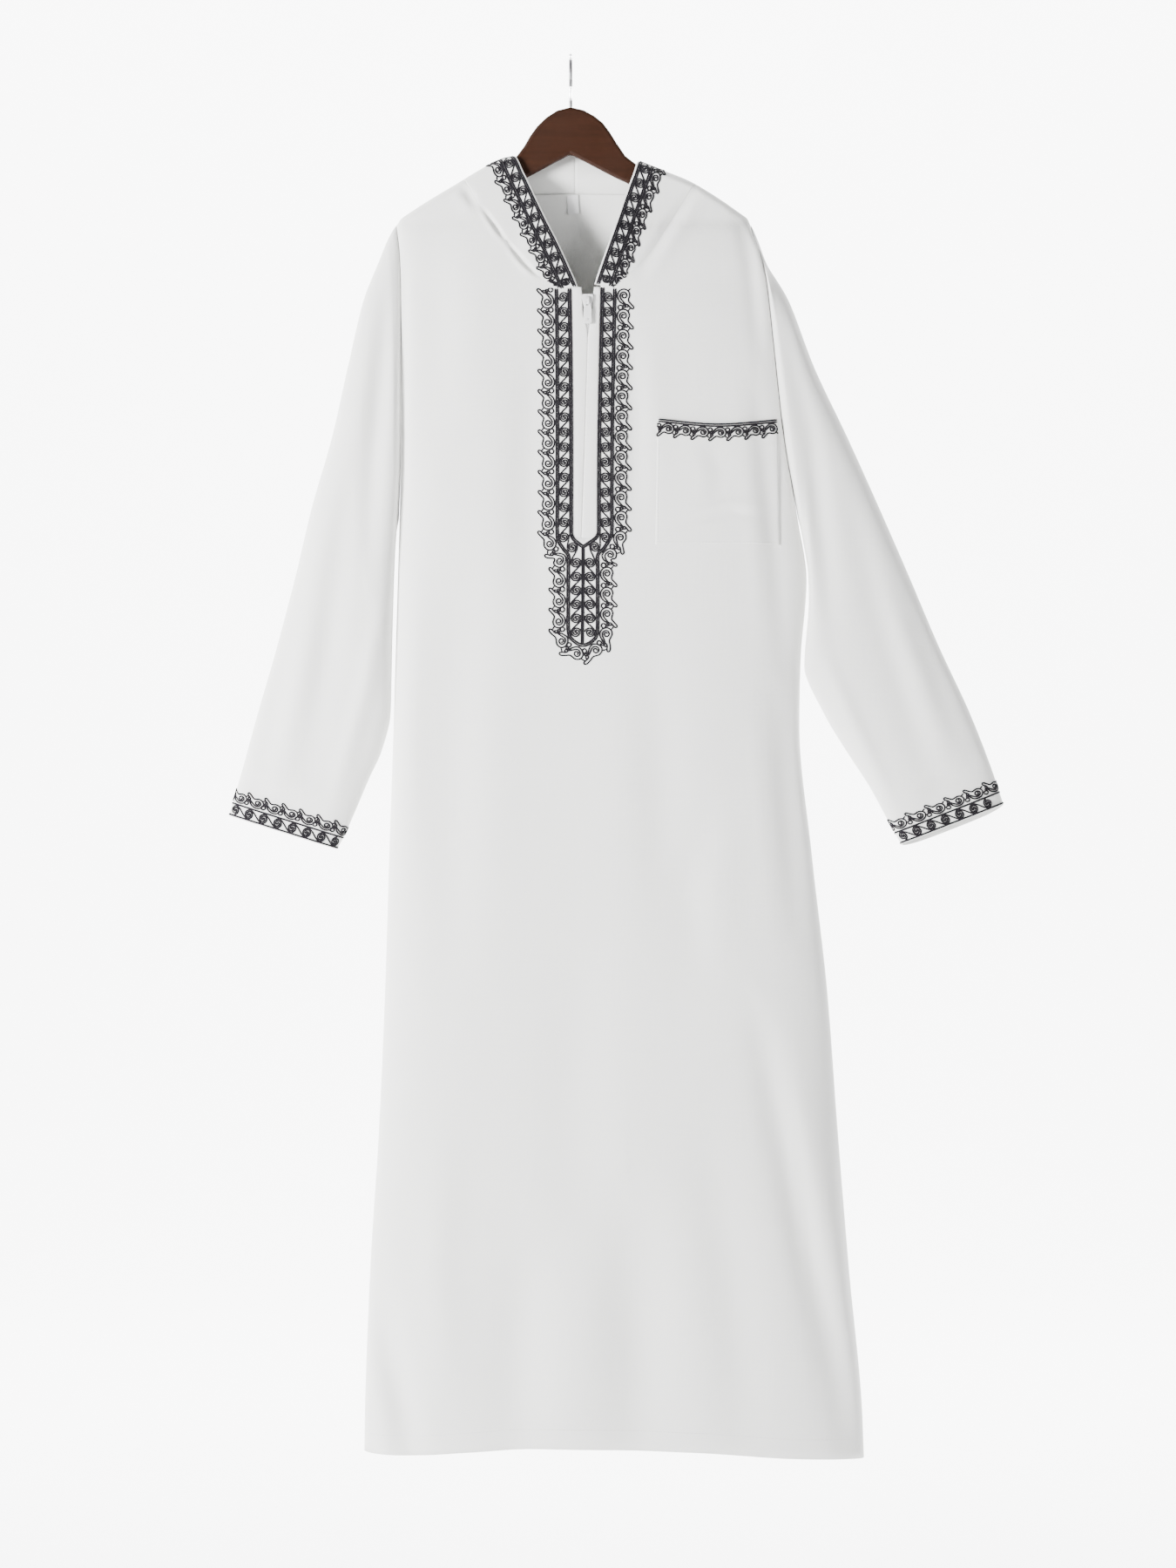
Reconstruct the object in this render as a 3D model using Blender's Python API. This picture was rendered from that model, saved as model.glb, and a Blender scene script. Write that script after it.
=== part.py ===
# Hooded white thobe hung on a wooden hanger, built from the pieces a maker would cut and sew.
# The garment's front faces -Y, its wearer's left is at +X, and +Z is up.
# The origin is the inside top of the hanger's hook, where a rail holds it up.
# Sizes below are in millimetres; MM turns them into Blender's metres.
import math

import bpy
import numpy as np

MM = 0.001
WALL = 1.5              # cloth with its hems and facings
SEAM_GAP = 0.3          # clear gap between neighbouring pieces
HALF_GAP = SEAM_GAP / 2

SHOULDER_Z = -184.0     # top of both armholes
UNDERARM_Z = -506.0     # foot of both armholes
ROLL_RADIUS = 9.0       # how fast the cloth turns down over the hanger's arms
ROLL_SHARE = 0.50       # share of its depth that the cloth has just below that turn
CHEST_DROP = 160.0      # fall below the hanger over which the rest of the depth opens

SLOT_TOP_Z = -257.0     # top of the front opening that the zip closes
SLOT_FOOT_Z = -530.0
HEM_Z = -1526.0         # about where the hem hangs; HEM_ROWS gives its line
CENTRE_BACK_X = 5.0     # the hood's centre seam
ARMHOLE_FRONT = {"left": 5.0, "right": 12.0}
ARMHOLE_BACK = 14.0
ARMHOLE_GAP = 0.6
SIDE_POWER = {"left": 7.0, "right": 3.8}    # a low power rolls softly into the side
SHOULDER_POWER = 14.0   # the sides are square where the hanger's arms fill them
ARMHOLE_STEPS = 10
ARMHOLE_SHARES = 0.5 - 0.5 * np.cos(np.linspace(0.0, math.pi, ARMHOLE_STEPS + 1))

POCKET_WALL = 1.2
FLAP_WALL = 1.1
FLAP_GAP = 0.6
FLAP_SINK = 0.4         # the flaps lie a little behind the front
TAPE_WALL = 0.7
LABEL_WALL = 0.6

# height, left edge, right edge, slot's left, slot's right, front depth, back depth
BODY_ROWS = (
    (-50.0, -190.0, 196.7, 0.0, 33.3, 22.0, 21.0),
    (-184.0, -190.0, 196.7, 0.0, 33.3, 23.0, 21.0),
    (-215.0, -187.0, 206.8, 0.0, 33.3, 23.6, 21.6),
    (-250.0, -185.6, 213.9, 0.6, 32.6, 24.4, 22.4),
    (-307.0, -185.2, 220.4, 1.6, 31.5, 25.0, 23.0),
    (-416.0, -185.2, 232.8, 2.0, 29.6, 26.0, 24.0),
    (-506.0, -187.4, 248.6, 2.0, 29.2, 27.0, 25.0),
    (-573.0, -189.3, 258.4, -1.0, 29.5, 28.0, 26.0),
    (-663.0, -191.9, 251.8, -2.0, 30.0, 29.0, 27.0),
    (-731.0, -193.8, 250.6, -2.0, 32.0, 30.0, 28.0),
    (-872.0, -198.6, 264.1, 0.0, 36.0, 32.0, 30.0),
    (-1024.0, -203.3, 281.2, 6.0, 42.0, 35.0, 33.0),
    (-1176.0, -210.0, 292.6, 13.0, 49.0, 38.0, 36.0),
    (-1328.0, -219.5, 305.0, 20.0, 57.0, 42.0, 40.0),
    (-1480.0, -225.2, 319.2, 28.0, 65.0, 45.0, 43.0),
    (-1540.0, -226.1, 321.5, 30.0, 68.0, 46.0, 44.0),
)

# across, height of the cloth's highest line, where it lies over the hanger's arms
RIDGE_ROWS = (
    (-190.0, -184.0), (-186.0, -177.6), (-179.6, -172.8), (-131.0, -142.4), (-76.0, -112.0),
    (-60.0, -107.8), (-44.0, -84.0), (0.0, -50.0), (44.0, -81.0), (60.0, -105.0),
    (71.0, -112.0), (128.3, -134.8), (154.9, -150.0), (188.1, -172.8), (193.6, -177.0),
    (196.7, -184.0),
)

# neck seam x and z, rim x and z, from the zip's top up to the shoulder
HOOD_FRONT_LEFT = (
    (-14.3, -256.4, 7.6, -253.6),
    (-31.4, -245.0, -2.9, -229.8),
    (-50.4, -227.9, -14.3, -205.1),
    (-66.5, -208.0, -25.7, -182.3),
    (-81.7, -188.0, -37.1, -158.6),
    (-98.8, -164.0, -48.5, -133.9),
    (-118.8, -136.4, -62.5, -108.8),
)
HOOD_FRONT_RIGHT = (
    (48.5, -254.4, 26.6, -250.7),
    (63.7, -241.2, 34.2, -227.9),
    (78.9, -225.0, 42.3, -205.1),
    (93.1, -207.0, 50.4, -182.3),
    (105.5, -187.0, 58.0, -159.5),
    (120.6, -163.0, 66.0, -136.7),
    (137.8, -140.4, 75.5, -113.9),
)

# share of the way to centre back; then out from centre back and height of the
# neck seam, the ridge behind the hanger, the pouch's lower outline and the rim
HOOD_BACK_ROWS = (
    (0.00, 123.8, -136.4, 118.0, -134.5, 122.0, -139.5, 67.5, -108.8),
    (0.08, 118.0, -141.5, 108.0, -128.0, 130.0, -156.0, 70.0, -121.0),
    (0.22, 100.0, -146.0, 88.0, -117.5, 141.0, -196.0, 70.0, -146.0),
    (0.40, 76.0, -148.5, 66.0, -106.0, 145.0, -250.0, 66.0, -180.0),
    (0.60, 50.0, -149.0, 43.0, -95.0, 122.0, -308.0, 52.0, -214.0),
    (0.80, 25.0, -148.5, 21.0, -89.0, 67.0, -352.0, 29.0, -240.0),
    (1.00, 0.0, -148.0, 0.0, -87.0, 0.0, -372.0, 0.0, -252.0),
)
HOOD_RIGHT_SPREAD = 1.07    # the right half reaches a little further out

# outer x and z, inner x and z, front half depth, back half depth, extra fall of the back layer
SLEEVE_LEFT = (
    (-195.0, -190.0, -190.6, -520.0, 11.0, 17.0, 0.0),
    (-200.8, -201.0, -192.0, -541.0, 15.0, 19.0, 0.0),
    (-210.9, -226.0, -193.2, -570.0, 17.0, 20.0, 0.0),
    (-226.1, -264.0, -194.2, -602.0, 19.0, 20.0, 0.0),
    (-244.2, -340.0, -195.2, -640.0, 21.0, 21.0, 0.0),
    (-261.3, -416.0, -196.0, -678.0, 22.0, 21.0, 0.0),
    (-283.1, -492.0, -197.0, -718.0, 22.0, 21.0, 0.0),
    (-301.2, -568.0, -206.2, -758.0, 21.0, 20.0, 0.0),
    (-321.1, -644.0, -221.0, -791.0, 20.0, 19.0, 0.0),
    (-343.0, -720.0, -235.0, -824.0, 18.0, 18.0, 0.0),
    (-361.5, -787.0, -246.5, -850.0, 16.0, 17.0, 0.0),
    (-374.3, -830.2, -255.6, -867.3, 14.0, 16.0, 0.0),
)
SLEEVE_RIGHT = (
    (200.6, -190.0, 251.9, -516.0, 15.0, 17.0, 0.0),
    (206.0, -203.0, 255.5, -535.0, 18.0, 19.0, 0.0),
    (214.6, -226.0, 259.2, -556.0, 20.0, 20.0, 0.0),
    (237.5, -264.0, 261.9, -580.0, 21.0, 20.0, 0.0),
    (267.0, -340.0, 261.0, -606.0, 22.0, 21.0, 0.0),
    (303.0, -416.0, 257.9, -636.0, 22.0, 21.0, 0.0),
    (337.3, -492.0, 255.9, -668.0, 22.0, 21.0, 0.5),
    (370.5, -568.0, 279.0, -722.0, 21.0, 20.0, 2.0),
    (402.8, -644.0, 301.5, -759.0, 20.0, 19.0, 4.0),
    (438.0, -720.0, 327.5, -799.0, 18.0, 18.0, 5.0),
    (461.0, -779.0, 346.5, -834.0, 16.0, 17.0, 6.0),
    (474.0, -818.0, 362.0, -861.6, 14.0, 16.0, 6.0),
)

# across, height of the front hem, height of the back hem
HEM_ROWS = (
    (-226.0, -1525.0, -1525.5),
    (-186.0, -1526.0, -1528.0),
    (-109.0, -1521.8, -1525.5),
    (-36.0, -1518.0, -1519.0),
    (130.0, -1521.8, -1520.5),
    (237.0, -1529.4, -1527.0),
    (321.0, -1533.0, -1532.5),
)

# height, left flap's free edge, right flap's free edge
FLAP_ROWS = (
    (-256.5, 11.4, 25.8),
    (-262.0, 12.1, 25.2),
    (-280.0, 12.6, 24.4),
    (-296.0, 16.6, 21.4),
    (-310.0, 18.3, 19.3),
    (-400.0, 15.6, 16.6),
    (-460.0, 13.6, 14.6),
    (-526.5, 11.4, 12.4),
)

# across, height of the wood's top, height of its underside
WOOD_ROWS = (
    (-179.0, -187.0, -198.0),
    (-174.0, -177.0, -201.0),
    (-150.0, -160.5, -187.0),
    (-119.0, -142.5, -170.0),
    (-90.0, -126.0, -154.0),
    (-76.0, -118.0, -146.8),
    (-62.0, -112.5, -139.5),
    (-51.0, -98.0, -133.5),
    (-44.7, -87.0, -130.2),
    (-37.0, -76.3, -126.0),
    (-26.6, -66.2, -120.5),
    (-15.0, -58.8, -114.3),
    (0.0, -55.0, -106.4),
    (14.5, -58.4, -114.0),
    (26.1, -64.8, -120.0),
    (35.2, -72.1, -124.8),
    (42.5, -81.6, -128.6),
    (50.2, -94.0, -132.6),
    (60.0, -108.5, -137.0),
    (71.0, -117.0, -142.8),
    (90.0, -125.5, -152.6),
    (128.3, -141.5, -173.0),
    (155.0, -157.0, -187.0),
    (178.0, -174.0, -201.0),
    (184.0, -185.0, -198.0),
)
WOOD_THICKNESS = 11.0
WOOD_BEVEL = 3.0

HOOK_WIRE = 3.8
HOOK_INNER_RADIUS = 19.0
HOOK_FROM_ANGLE = -38.0     # where the bend leaves the shank's curve, degrees above +Y
HOOK_TO_ANGLE = 203.0       # its free end, past the front of the bend

POCKET_LEFT, POCKET_RIGHT = 93.0, 226.0
POCKET_TOP, POCKET_FOOT = -397.0, -535.0
POCKET_DIP = 5.0            # how far the pocket's mouth sags
POCKET_LIFT = 1.5           # clears the front's facets

SLIDER_X, SLIDER_TOP, SLIDER_FOOT = 18.6, -262.0, -278.0
SLIDER_WIDTH, SLIDER_THICKNESS = 12.0, 3.0
BRIDGE_WIDTH, BRIDGE_RISE, BRIDGE_REACH, BRIDGE_BAR = 3.0, 3.6, 5.0, 1.3
BRIDGE_SINK = 0.4       # how deep the bridge's feet stand in the slider
PULL_PIVOT_Z = -269.0   # the hinge's axis, through the pull's top bar
PULL_WIDTH, PULL_LENGTH, PULL_THICKNESS = 8.6, 25.4, 1.4
PULL_BAR, PULL_EYE, PULL_EYE_WIDTH = 1.4, 6.0, 3.8
LABEL_HALF_WIDTH, LABEL_TOP, LABEL_FOOT = 7.0, -149.5, -170.0


def smooth(value):
    """Ease from 0 to 1 with a flat start and finish."""
    value = np.clip(value, 0.0, 1.0)
    return value * value * (3.0 - 2.0 * value)


def column(rows, at, index):
    """Read one named column of a table at a height or place, in straight runs."""
    table = np.array(rows)
    table = table[np.argsort(table[:, 0])]
    return np.interp(at, table[:, 0], table[:, index])


def flowing(rows, at, index):
    """Read a column in one smooth curve: cubics with the table's own slopes."""
    table = np.array(rows)
    shares, values = table[:, 0], table[:, index]
    slopes = np.gradient(values, shares)
    low = int(np.clip(np.searchsorted(shares, at) - 1, 0, len(shares) - 2))
    width = shares[low + 1] - shares[low]
    t = (at - shares[low]) / width
    return float((1 + 2 * t) * (1 - t) ** 2 * values[low] + t * (1 - t) ** 2 * width * slopes[low]
                 + t * t * (3 - 2 * t) * values[low + 1]
                 - t * t * (1 - t) * width * slopes[low + 1])


def rounded(share, power):
    """Depth of a flat, round-edged section: 0 at its two edges, 1 over the middle."""
    return np.sqrt(np.clip(1.0 - np.abs(2.0 * share - 1.0) ** power, 0.0, 1.0))


def armhole_depth(z, most):
    """Half depth of an armhole: it opens quickly at the shoulder and tapers to the underarm."""
    share = (SHOULDER_Z - np.asarray(z, float)) / (SHOULDER_Z - UNDERARM_Z)
    below = np.clip(2.0 * share - 1.0, 0.0, 1.0)
    taper = np.cos(math.pi / 2 * below ** 1.5) ** 0.9
    upper = rounded(np.clip(share, 0.0, 0.5), 6.0)
    return np.where((share > 0.0) & (share < 1.0), most * np.minimum(upper, taper), 0.0)


def roll(x, z):
    """Share of the depth that the cloth has reached at a point, measured below the ridge."""
    fall = np.maximum(column(RIDGE_ROWS, x, 1) - z, 0.0)
    turn = np.sqrt(np.clip(1.0 - (1.0 - np.minimum(fall / ROLL_RADIUS, 1.0)) ** 2, 0.0, 1.0))
    return ROLL_SHARE * turn + (1.0 - ROLL_SHARE) * smooth(fall / CHEST_DROP)


def panel_depth(x, z, side):
    """Distance of the front or back panel from the garment's middle plane."""
    left, right = column(BODY_ROWS, z, 1), column(BODY_ROWS, z, 2)
    across = np.clip(2.0 * (x - left) / (right - left) - 1.0, -1.0, 1.0)
    power = np.where(across < 0.0, SIDE_POWER["left"], SIDE_POWER["right"])
    square = 1.0 - smooth((SHOULDER_Z - 6.0 - z) / 60.0)
    if side == "front":
        most = np.where(across < 0.0, ARMHOLE_FRONT["left"], ARMHOLE_FRONT["right"])
        full = column(BODY_ROWS, z, 5)
    else:
        power = np.full_like(across, 5.0)
        most = ARMHOLE_BACK
        full = column(BODY_ROWS, z, 6)
    power = power + (SHOULDER_POWER - power) * square
    edge = armhole_depth(z, most)
    body = np.sqrt(np.clip(1.0 - np.abs(across) ** power, 0.0, 1.0))
    return HALF_GAP + edge + np.maximum(full - edge, 0.0) * body * roll(x, z)


def front_point(x, z, out=0.0):
    """A point of the front panel, moved out of it by a distance."""
    return np.stack([x, -panel_depth(x, z, "front") - out, z], axis=-1)


def back_point(x, z, out=0.0):
    """A point of the back panel, moved out of it by a distance."""
    return np.stack([x, panel_depth(x, z, "back") + out, z], axis=-1)


def resample(points, shares):
    """Points at given shares of the length of a smooth curve through the given points."""
    points = np.asarray(points, float)
    padded = np.vstack([2 * points[0] - points[1], points, 2 * points[-1] - points[-2]])
    fine = []
    for first, start, end, last in zip(padded, padded[1:], padded[2:], padded[3:]):
        t = np.linspace(0.0, 1.0, 9)[:-1, None]
        fine.append(0.5 * (2 * start + (end - first) * t
                           + (2 * first - 5 * start + 4 * end - last) * t ** 2
                           + (3 * start - first - 3 * end + last) * t ** 3))
    fine = np.vstack(fine + [points[-1:]])
    steps = np.linalg.norm(np.diff(fine, axis=0), axis=1)
    length = np.concatenate([[0.0], np.cumsum(steps)])
    at = np.asarray(shares) * length[-1]
    return np.stack([np.interp(at, length, fine[:, axis]) for axis in range(fine.shape[1])], axis=1)


def material(name, color, roughness, metallic=0.0):
    """A plain Principled material."""
    made = bpy.data.materials.new(name)
    made.use_nodes = True
    shader = made.node_tree.nodes["Principled BSDF"]
    shader.inputs["Base Color"].default_value = (*color, 1.0)
    shader.inputs["Roughness"].default_value = roughness
    shader.inputs["Metallic"].default_value = metallic
    return made


def add_mesh(name, vertices, faces, finish):
    """Make a named mesh object from points in millimetres."""
    mesh = bpy.data.meshes.new(name)
    mesh.from_pydata([tuple(point) for point in np.asarray(vertices) * MM], [], faces)
    mesh.materials.append(finish)
    mesh.validate()
    mesh.shade_smooth()
    made = bpy.data.objects.new(name, mesh)
    bpy.context.scene.collection.objects.link(made)
    return made


def cell_normals(grid, ring):
    """Unit normals at the points of a grid: the mean of the cells that meet there."""
    after = np.roll(grid, -1, axis=1) if ring else grid[:, 1:]
    here = grid if ring else grid[:, :-1]
    across = after[1:] - here[:-1]
    normal = np.cross(across, after[:-1] - here[1:])
    normal /= np.maximum(np.linalg.norm(normal, axis=2, keepdims=True), 1e-9)
    total = np.zeros_like(grid)
    for rows in (slice(None, -1), slice(1, None)):
        if ring:
            total[rows] += normal + np.roll(normal, 1, axis=1)
        else:
            total[rows, :-1] += normal
            total[rows, 1:] += normal
    return total / np.maximum(np.linalg.norm(total, axis=2, keepdims=True), 1e-9)


def add_sheet(name, grid, finish, thickness, flip=False, ring=False, hole=None, limit=None):
    """A wall of cloth: the grid is its outer face, and its inner face lies behind that.

    ring closes the columns into a tube, hole leaves cells out, and limit keeps the
    inner face on the piece's own side of a seam."""
    rows, cols = grid.shape[:2]
    normals = cell_normals(grid, ring) * (-1.0 if flip else 1.0)
    inner = grid - normals * thickness
    if limit is not None:
        inner = limit(inner)
    outside = []
    for row in range(rows - 1):
        for col in range(cols if ring else cols - 1):
            if hole is not None and hole(row, col):
                continue
            after = (col + 1) % cols
            face = (row * cols + col, (row + 1) * cols + col,
                    (row + 1) * cols + after, row * cols + after)
            outside.append(face[::-1] if flip else face)
    edges = {(face[i], face[(i + 1) % 4]) for face in outside for i in range(4)}
    shift = rows * cols
    faces = outside + [tuple(index + shift for index in face[::-1]) for face in outside]
    for start, end in sorted(edges):
        if (end, start) not in edges:
            faces.append((end, start, start + shift, end + shift))
    points = np.vstack([grid.reshape(-1, 3), inner.reshape(-1, 3)])
    used = sorted({index for face in faces for index in face})
    place = {old: new for new, old in enumerate(used)}
    faces = [tuple(place[index] for index in face) for face in faces]
    return add_mesh(name, points[used], faces, finish)


def keep_side(axis, side, middle=0.0):
    """A limit that keeps points on one side of a plane, half a seam gap from it."""
    def limit(points):
        edge = middle + side * HALF_GAP
        held = points.copy()
        held[..., axis] = side * np.maximum(side * points[..., axis], side * edge)
        return held
    return limit


def panel_x(part, share, z):
    """Across place of a column at a height, in the three runs beside the slot."""
    edges = [column(BODY_ROWS, z, index) for index in (1, 3, 4, 2)]
    return edges[part] + (edges[part + 1] - edges[part]) * share


def panel_rows(between, lower_count):
    """Shares down a panel: close over the hanger, level with the armholes, then even."""
    armhole = ARMHOLE_SHARES * (SHOULDER_Z - UNDERARM_Z) / (SHOULDER_Z - HEM_Z)
    lower = np.linspace(armhole[-1], 1.0, lower_count)[1:]
    return np.array(sorted([0.0012, 0.003] + list(armhole) + list(between) + list(lower)))


def make_front(cloth):
    """The front, cut in one, with its slot for the zip left open."""
    neck_left = [neck_point(row) for row in hood_front_rows(HOOD_FRONT_LEFT)][::-1]
    neck_right = [neck_point(row) for row in hood_front_rows(HOOD_FRONT_RIGHT)]
    tops = [(0, x, None) for x in (-190.0, -187.5, -182.0, -172.0, -156.0, -137.0)]
    tops += [(0, x, z) for x, z in neck_left] + [(0, 0.0, -258.0), (1, 16.6, SLOT_TOP_Z)]
    tops += [(2, 33.3, -256.5)] + [(2, x, z) for x, z in neck_right]
    tops += [(2, x, None) for x in (154.0, 170.0, 182.0, 190.0, 194.5, 196.7)]
    shares = panel_rows((0.0125, 0.0355, 0.066, 0.10), 12)
    grid = np.zeros((len(shares), len(tops), 3))
    for index, (part, top_x, neck_z) in enumerate(tops):
        top = float(column(RIDGE_ROWS, top_x, 1)) if neck_z is None else neck_z - SEAM_GAP
        level = min(top, SHOULDER_Z) if neck_z is None else top
        start, end = panel_x(part, 0.0, level), panel_x(part, 1.0, level)
        share = (top_x - start) / (end - start)
        foot = float(column(HEM_ROWS, panel_x(part, share, HEM_Z), 1))
        z = top + (foot - top) * shares
        grid[:, index] = front_point(panel_x(part, share, z), z)
    slot_cell = len(neck_left) + 6
    slot_foot = int(np.argmin(np.abs(SLOT_TOP_Z + (HEM_Z - SLOT_TOP_Z) * shares - SLOT_FOOT_Z)))

    def in_slot(row, col):
        return col in (slot_cell, slot_cell + 1) and row < slot_foot

    return add_sheet("front_panel", grid, cloth, WALL, hole=in_slot, limit=keep_side(1, -1))


def back_neck_rows():
    """The back neck seam from left to right, as across and height."""
    half = [(row[1], row[2]) for row in HOOD_BACK_ROWS]
    left = [(CENTRE_BACK_X - out, z) for out, z in half]
    right = [(CENTRE_BACK_X + out * HOOD_RIGHT_SPREAD, z - 4.0 * (out / 123.8) ** 3)
             for out, z in half[::-1]]
    return left + right[1:]


def make_back(cloth):
    """The back, one whole width from shoulder seams and neck seam to hem."""
    neck = back_neck_rows()
    reach = max(abs(x - CENTRE_BACK_X) for x, z in neck)
    neck = [(x, z - 2.4 * (abs(x - CENTRE_BACK_X) / reach) ** 4) for x, z in neck]
    tops = [(x, None) for x in (-190.0, -187.5, -182.0, -170.0, -152.0, -134.0)] + neck
    tops += [(x, None) for x in (155.0, 172.0, 184.0, 191.0, 194.5, 196.7)]
    shares = panel_rows((0.0125,), 11)
    grid = np.zeros((len(shares), len(tops), 3))
    for index, (top_x, neck_z) in enumerate(tops):
        top = float(column(RIDGE_ROWS, top_x, 1)) if neck_z is None else neck_z - SEAM_GAP
        share = (top_x + 190.0) / 386.7
        left_foot, right_foot = column(BODY_ROWS, HEM_Z, 1), column(BODY_ROWS, HEM_Z, 2)
        foot = float(column(HEM_ROWS, left_foot + (right_foot - left_foot) * share, 2))
        z = top + (foot - top) * shares
        left, right = column(BODY_ROWS, z, 1), column(BODY_ROWS, z, 2)
        grid[:, index] = back_point(left + (right - left) * share, z)
    return add_sheet("back_panel", grid, cloth, WALL, flip=True, limit=keep_side(1, 1))


def armhole_ring(side, shares):
    """The sleeve's first ring: the body's armhole edge, one seam gap further out."""
    z = SHOULDER_Z + (UNDERARM_Z - SHOULDER_Z) * shares
    edge = column(BODY_ROWS, z, 1 if side == "left" else 2)
    x = edge + (-ARMHOLE_GAP if side == "left" else ARMHOLE_GAP)
    front = -armhole_depth(z, ARMHOLE_FRONT[side]) - HALF_GAP
    back = armhole_depth(z, ARMHOLE_BACK) + HALF_GAP
    return (np.stack([x, front, z], axis=1), np.stack([x, back, z], axis=1))


def sleeve_ring(row, shares, bow):
    """A flat, round-edged ring of the sleeve, from its outer fold to its seam."""
    outer = np.array([row[0], 0.0, row[1]])
    inner = np.array([row[2], 0.0, row[3]])
    line = outer + (inner - outer) * shares[:, None]
    line[:, 0] += bow
    shape = rounded(shares, 3.4)
    front = line + np.stack([0 * shape, -row[4] * shape, 0 * shape], axis=1)
    back = line + np.stack([0 * shape, row[5] * shape, -row[6] * shape], axis=1)
    return front, back


def make_sleeve(side, rows, cloth):
    """A set-in sleeve: rings fan out from the armhole and turn down to the cuff."""
    shares = ARMHOLE_SHARES
    rings = [armhole_ring(side, shares)]
    armhole_x = rings[0][0][:, 0]
    bow = armhole_x - (armhole_x[0] + (armhole_x[-1] - armhole_x[0]) * shares)
    for index, row in enumerate(rows):
        rings.append(sleeve_ring(row, shares, bow * max(0.0, 0.9 - 0.25 * index)))
    grid = np.array([np.vstack([front, back[-2:0:-1]]) for front, back in rings])
    sign, edge = (-1.0, 1) if side == "left" else (1.0, 2)

    def beside_body(points):
        """Keep the inner face on the sleeve's side of the body's edge."""
        held = points.copy()
        stop = column(BODY_ROWS, points[..., 2], edge) + sign * ARMHOLE_GAP
        above = points[..., 2] > UNDERARM_Z
        held[..., 0] = np.where(above, sign * np.maximum(sign * points[..., 0], sign * stop),
                                points[..., 0])
        return held

    return add_sheet("sleeve_" + side, grid, cloth, WALL, flip=side == "right", ring=True,
                     limit=beside_body)


def hood_front_station(row, shares):
    """A straight strip from the neck seam to the rim, on the garment's front."""
    x = row[0] + (row[2] - row[0]) * shares
    z = row[1] + (row[3] - row[1]) * shares + row[4] * ridge_bow(row, x, shares)
    return front_point(x, z)


def ridge_bow(row, x, shares):
    """How far the cloth's highest line stands above the straight line of a strip."""
    return column(RIDGE_ROWS, x, 1) - (row[1] + (row[3] - row[1]) * shares)


def neck_point(row):
    """Where a strip starts on the neck seam, as across and height."""
    return row[0], row[1] + row[4] * float(ridge_bow(row, row[0], 0.0))


def hood_front_rows(rows):
    """The front strips, with more of them where the hood turns over the hanger's arm."""
    lower, top = np.array(rows[-2] + (0.0,)), np.array(rows[-1] + (1.0,))
    top[1] = column(RIDGE_ROWS, top[0], 1)
    top[3] = column(RIDGE_ROWS, top[2], 1)
    turned = [row + (0.0,) for row in rows[:-1]]
    for share in (0.45, 0.72, 0.87, 0.95, 1.0):
        middle = lower + (top - lower) * share
        middle[4] = share ** 3
        turned.append(tuple(middle))
    return turned


def hood_back_station(row, spread, shares):
    """Up from the neck seam, over the ridge, down, and up again to the rim."""
    share, out = row[0], row[1::2]
    seam_z, ridge_z, pouch_z, rim_z = row[2::2]
    drop = 4.0 * (out[0] / 123.8) ** 3 if spread > 0 else 0.0
    seam_x, ridge_x, pouch_x, rim_x = [CENTRE_BACK_X + spread * value for value in out]
    open_share = smooth(share / 0.3)
    seam = back_point(seam_x, seam_z - drop)
    depth = float(back_point(pouch_x, pouch_z)[1])
    over = 1.0 + open_share * 9.0
    path = [seam]
    path.append([ridge_x, seam[1] + 0.2 * over, ridge_z - 2.5 * open_share])
    path.append([ridge_x, seam[1] + 0.5 * over, ridge_z + 1.5 * open_share])
    path.append([ridge_x, seam[1] + over, ridge_z - 4.0 * open_share])
    for part in (0.2, 0.4, 0.6, 0.8):
        x = ridge_x + (pouch_x - ridge_x) * smooth(part)
        z = ridge_z + (pouch_z - ridge_z) * part
        clear = float(back_point(x, z)[1]) + 2.4 + 4.0 * open_share
        path.append([x, max(clear, seam[1] + over) if share > 0 else clear, z])
    path.append([pouch_x, depth + 2.4 + 4.0 * open_share, pouch_z + 9.0 * open_share])
    path.append([pouch_x, depth + 3.2 + 11.0 * open_share, pouch_z])
    path.append([pouch_x + (rim_x - pouch_x) * 0.08, depth + 4.0 + 17.5 * open_share,
                 pouch_z + 9.0 * open_share])
    rim_depth = float(back_point(rim_x, rim_z)[1])
    path.append([(pouch_x + rim_x) / 2, (depth + rim_depth) / 2 + 3.0 + 20.5 * open_share,
                 (pouch_z + rim_z) / 2])
    path.append([rim_x, rim_depth + 19.0 * open_share, rim_z])
    return resample(path, shares)


def make_hood_half(side, front_rows, cloth):
    """Half of the hood, from the front of the neck round to the centre back seam."""
    spread = -1.0 if side == "left" else HOOD_RIGHT_SPREAD
    shares = np.array([0.0, 0.055, 0.10, 0.13, 0.16, 0.20, 0.30, 0.42, 0.54, 0.64, 0.70, 0.735,
                       0.77, 0.82, 0.90, 1.0])
    stations = [hood_front_station(row, shares) for row in hood_front_rows(front_rows)]
    for share in (0.02, 0.045, 0.08, 0.15, 0.22, 0.31, 0.40, 0.50, 0.60, 0.70, 0.80, 0.90, 1.0):
        row = [share] + [flowing(HOOD_BACK_ROWS, share, index) for index in range(1, 9)]
        stations.append(hood_back_station(row, spread, shares))
    grid = np.array(stations)
    grid[-1, :, 0] = CENTRE_BACK_X + math.copysign(HALF_GAP, spread)
    own_side = keep_side(0, int(math.copysign(1, spread)), CENTRE_BACK_X)
    return add_sheet("hood_" + side, grid, cloth, WALL, flip=side == "left", limit=own_side)


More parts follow.
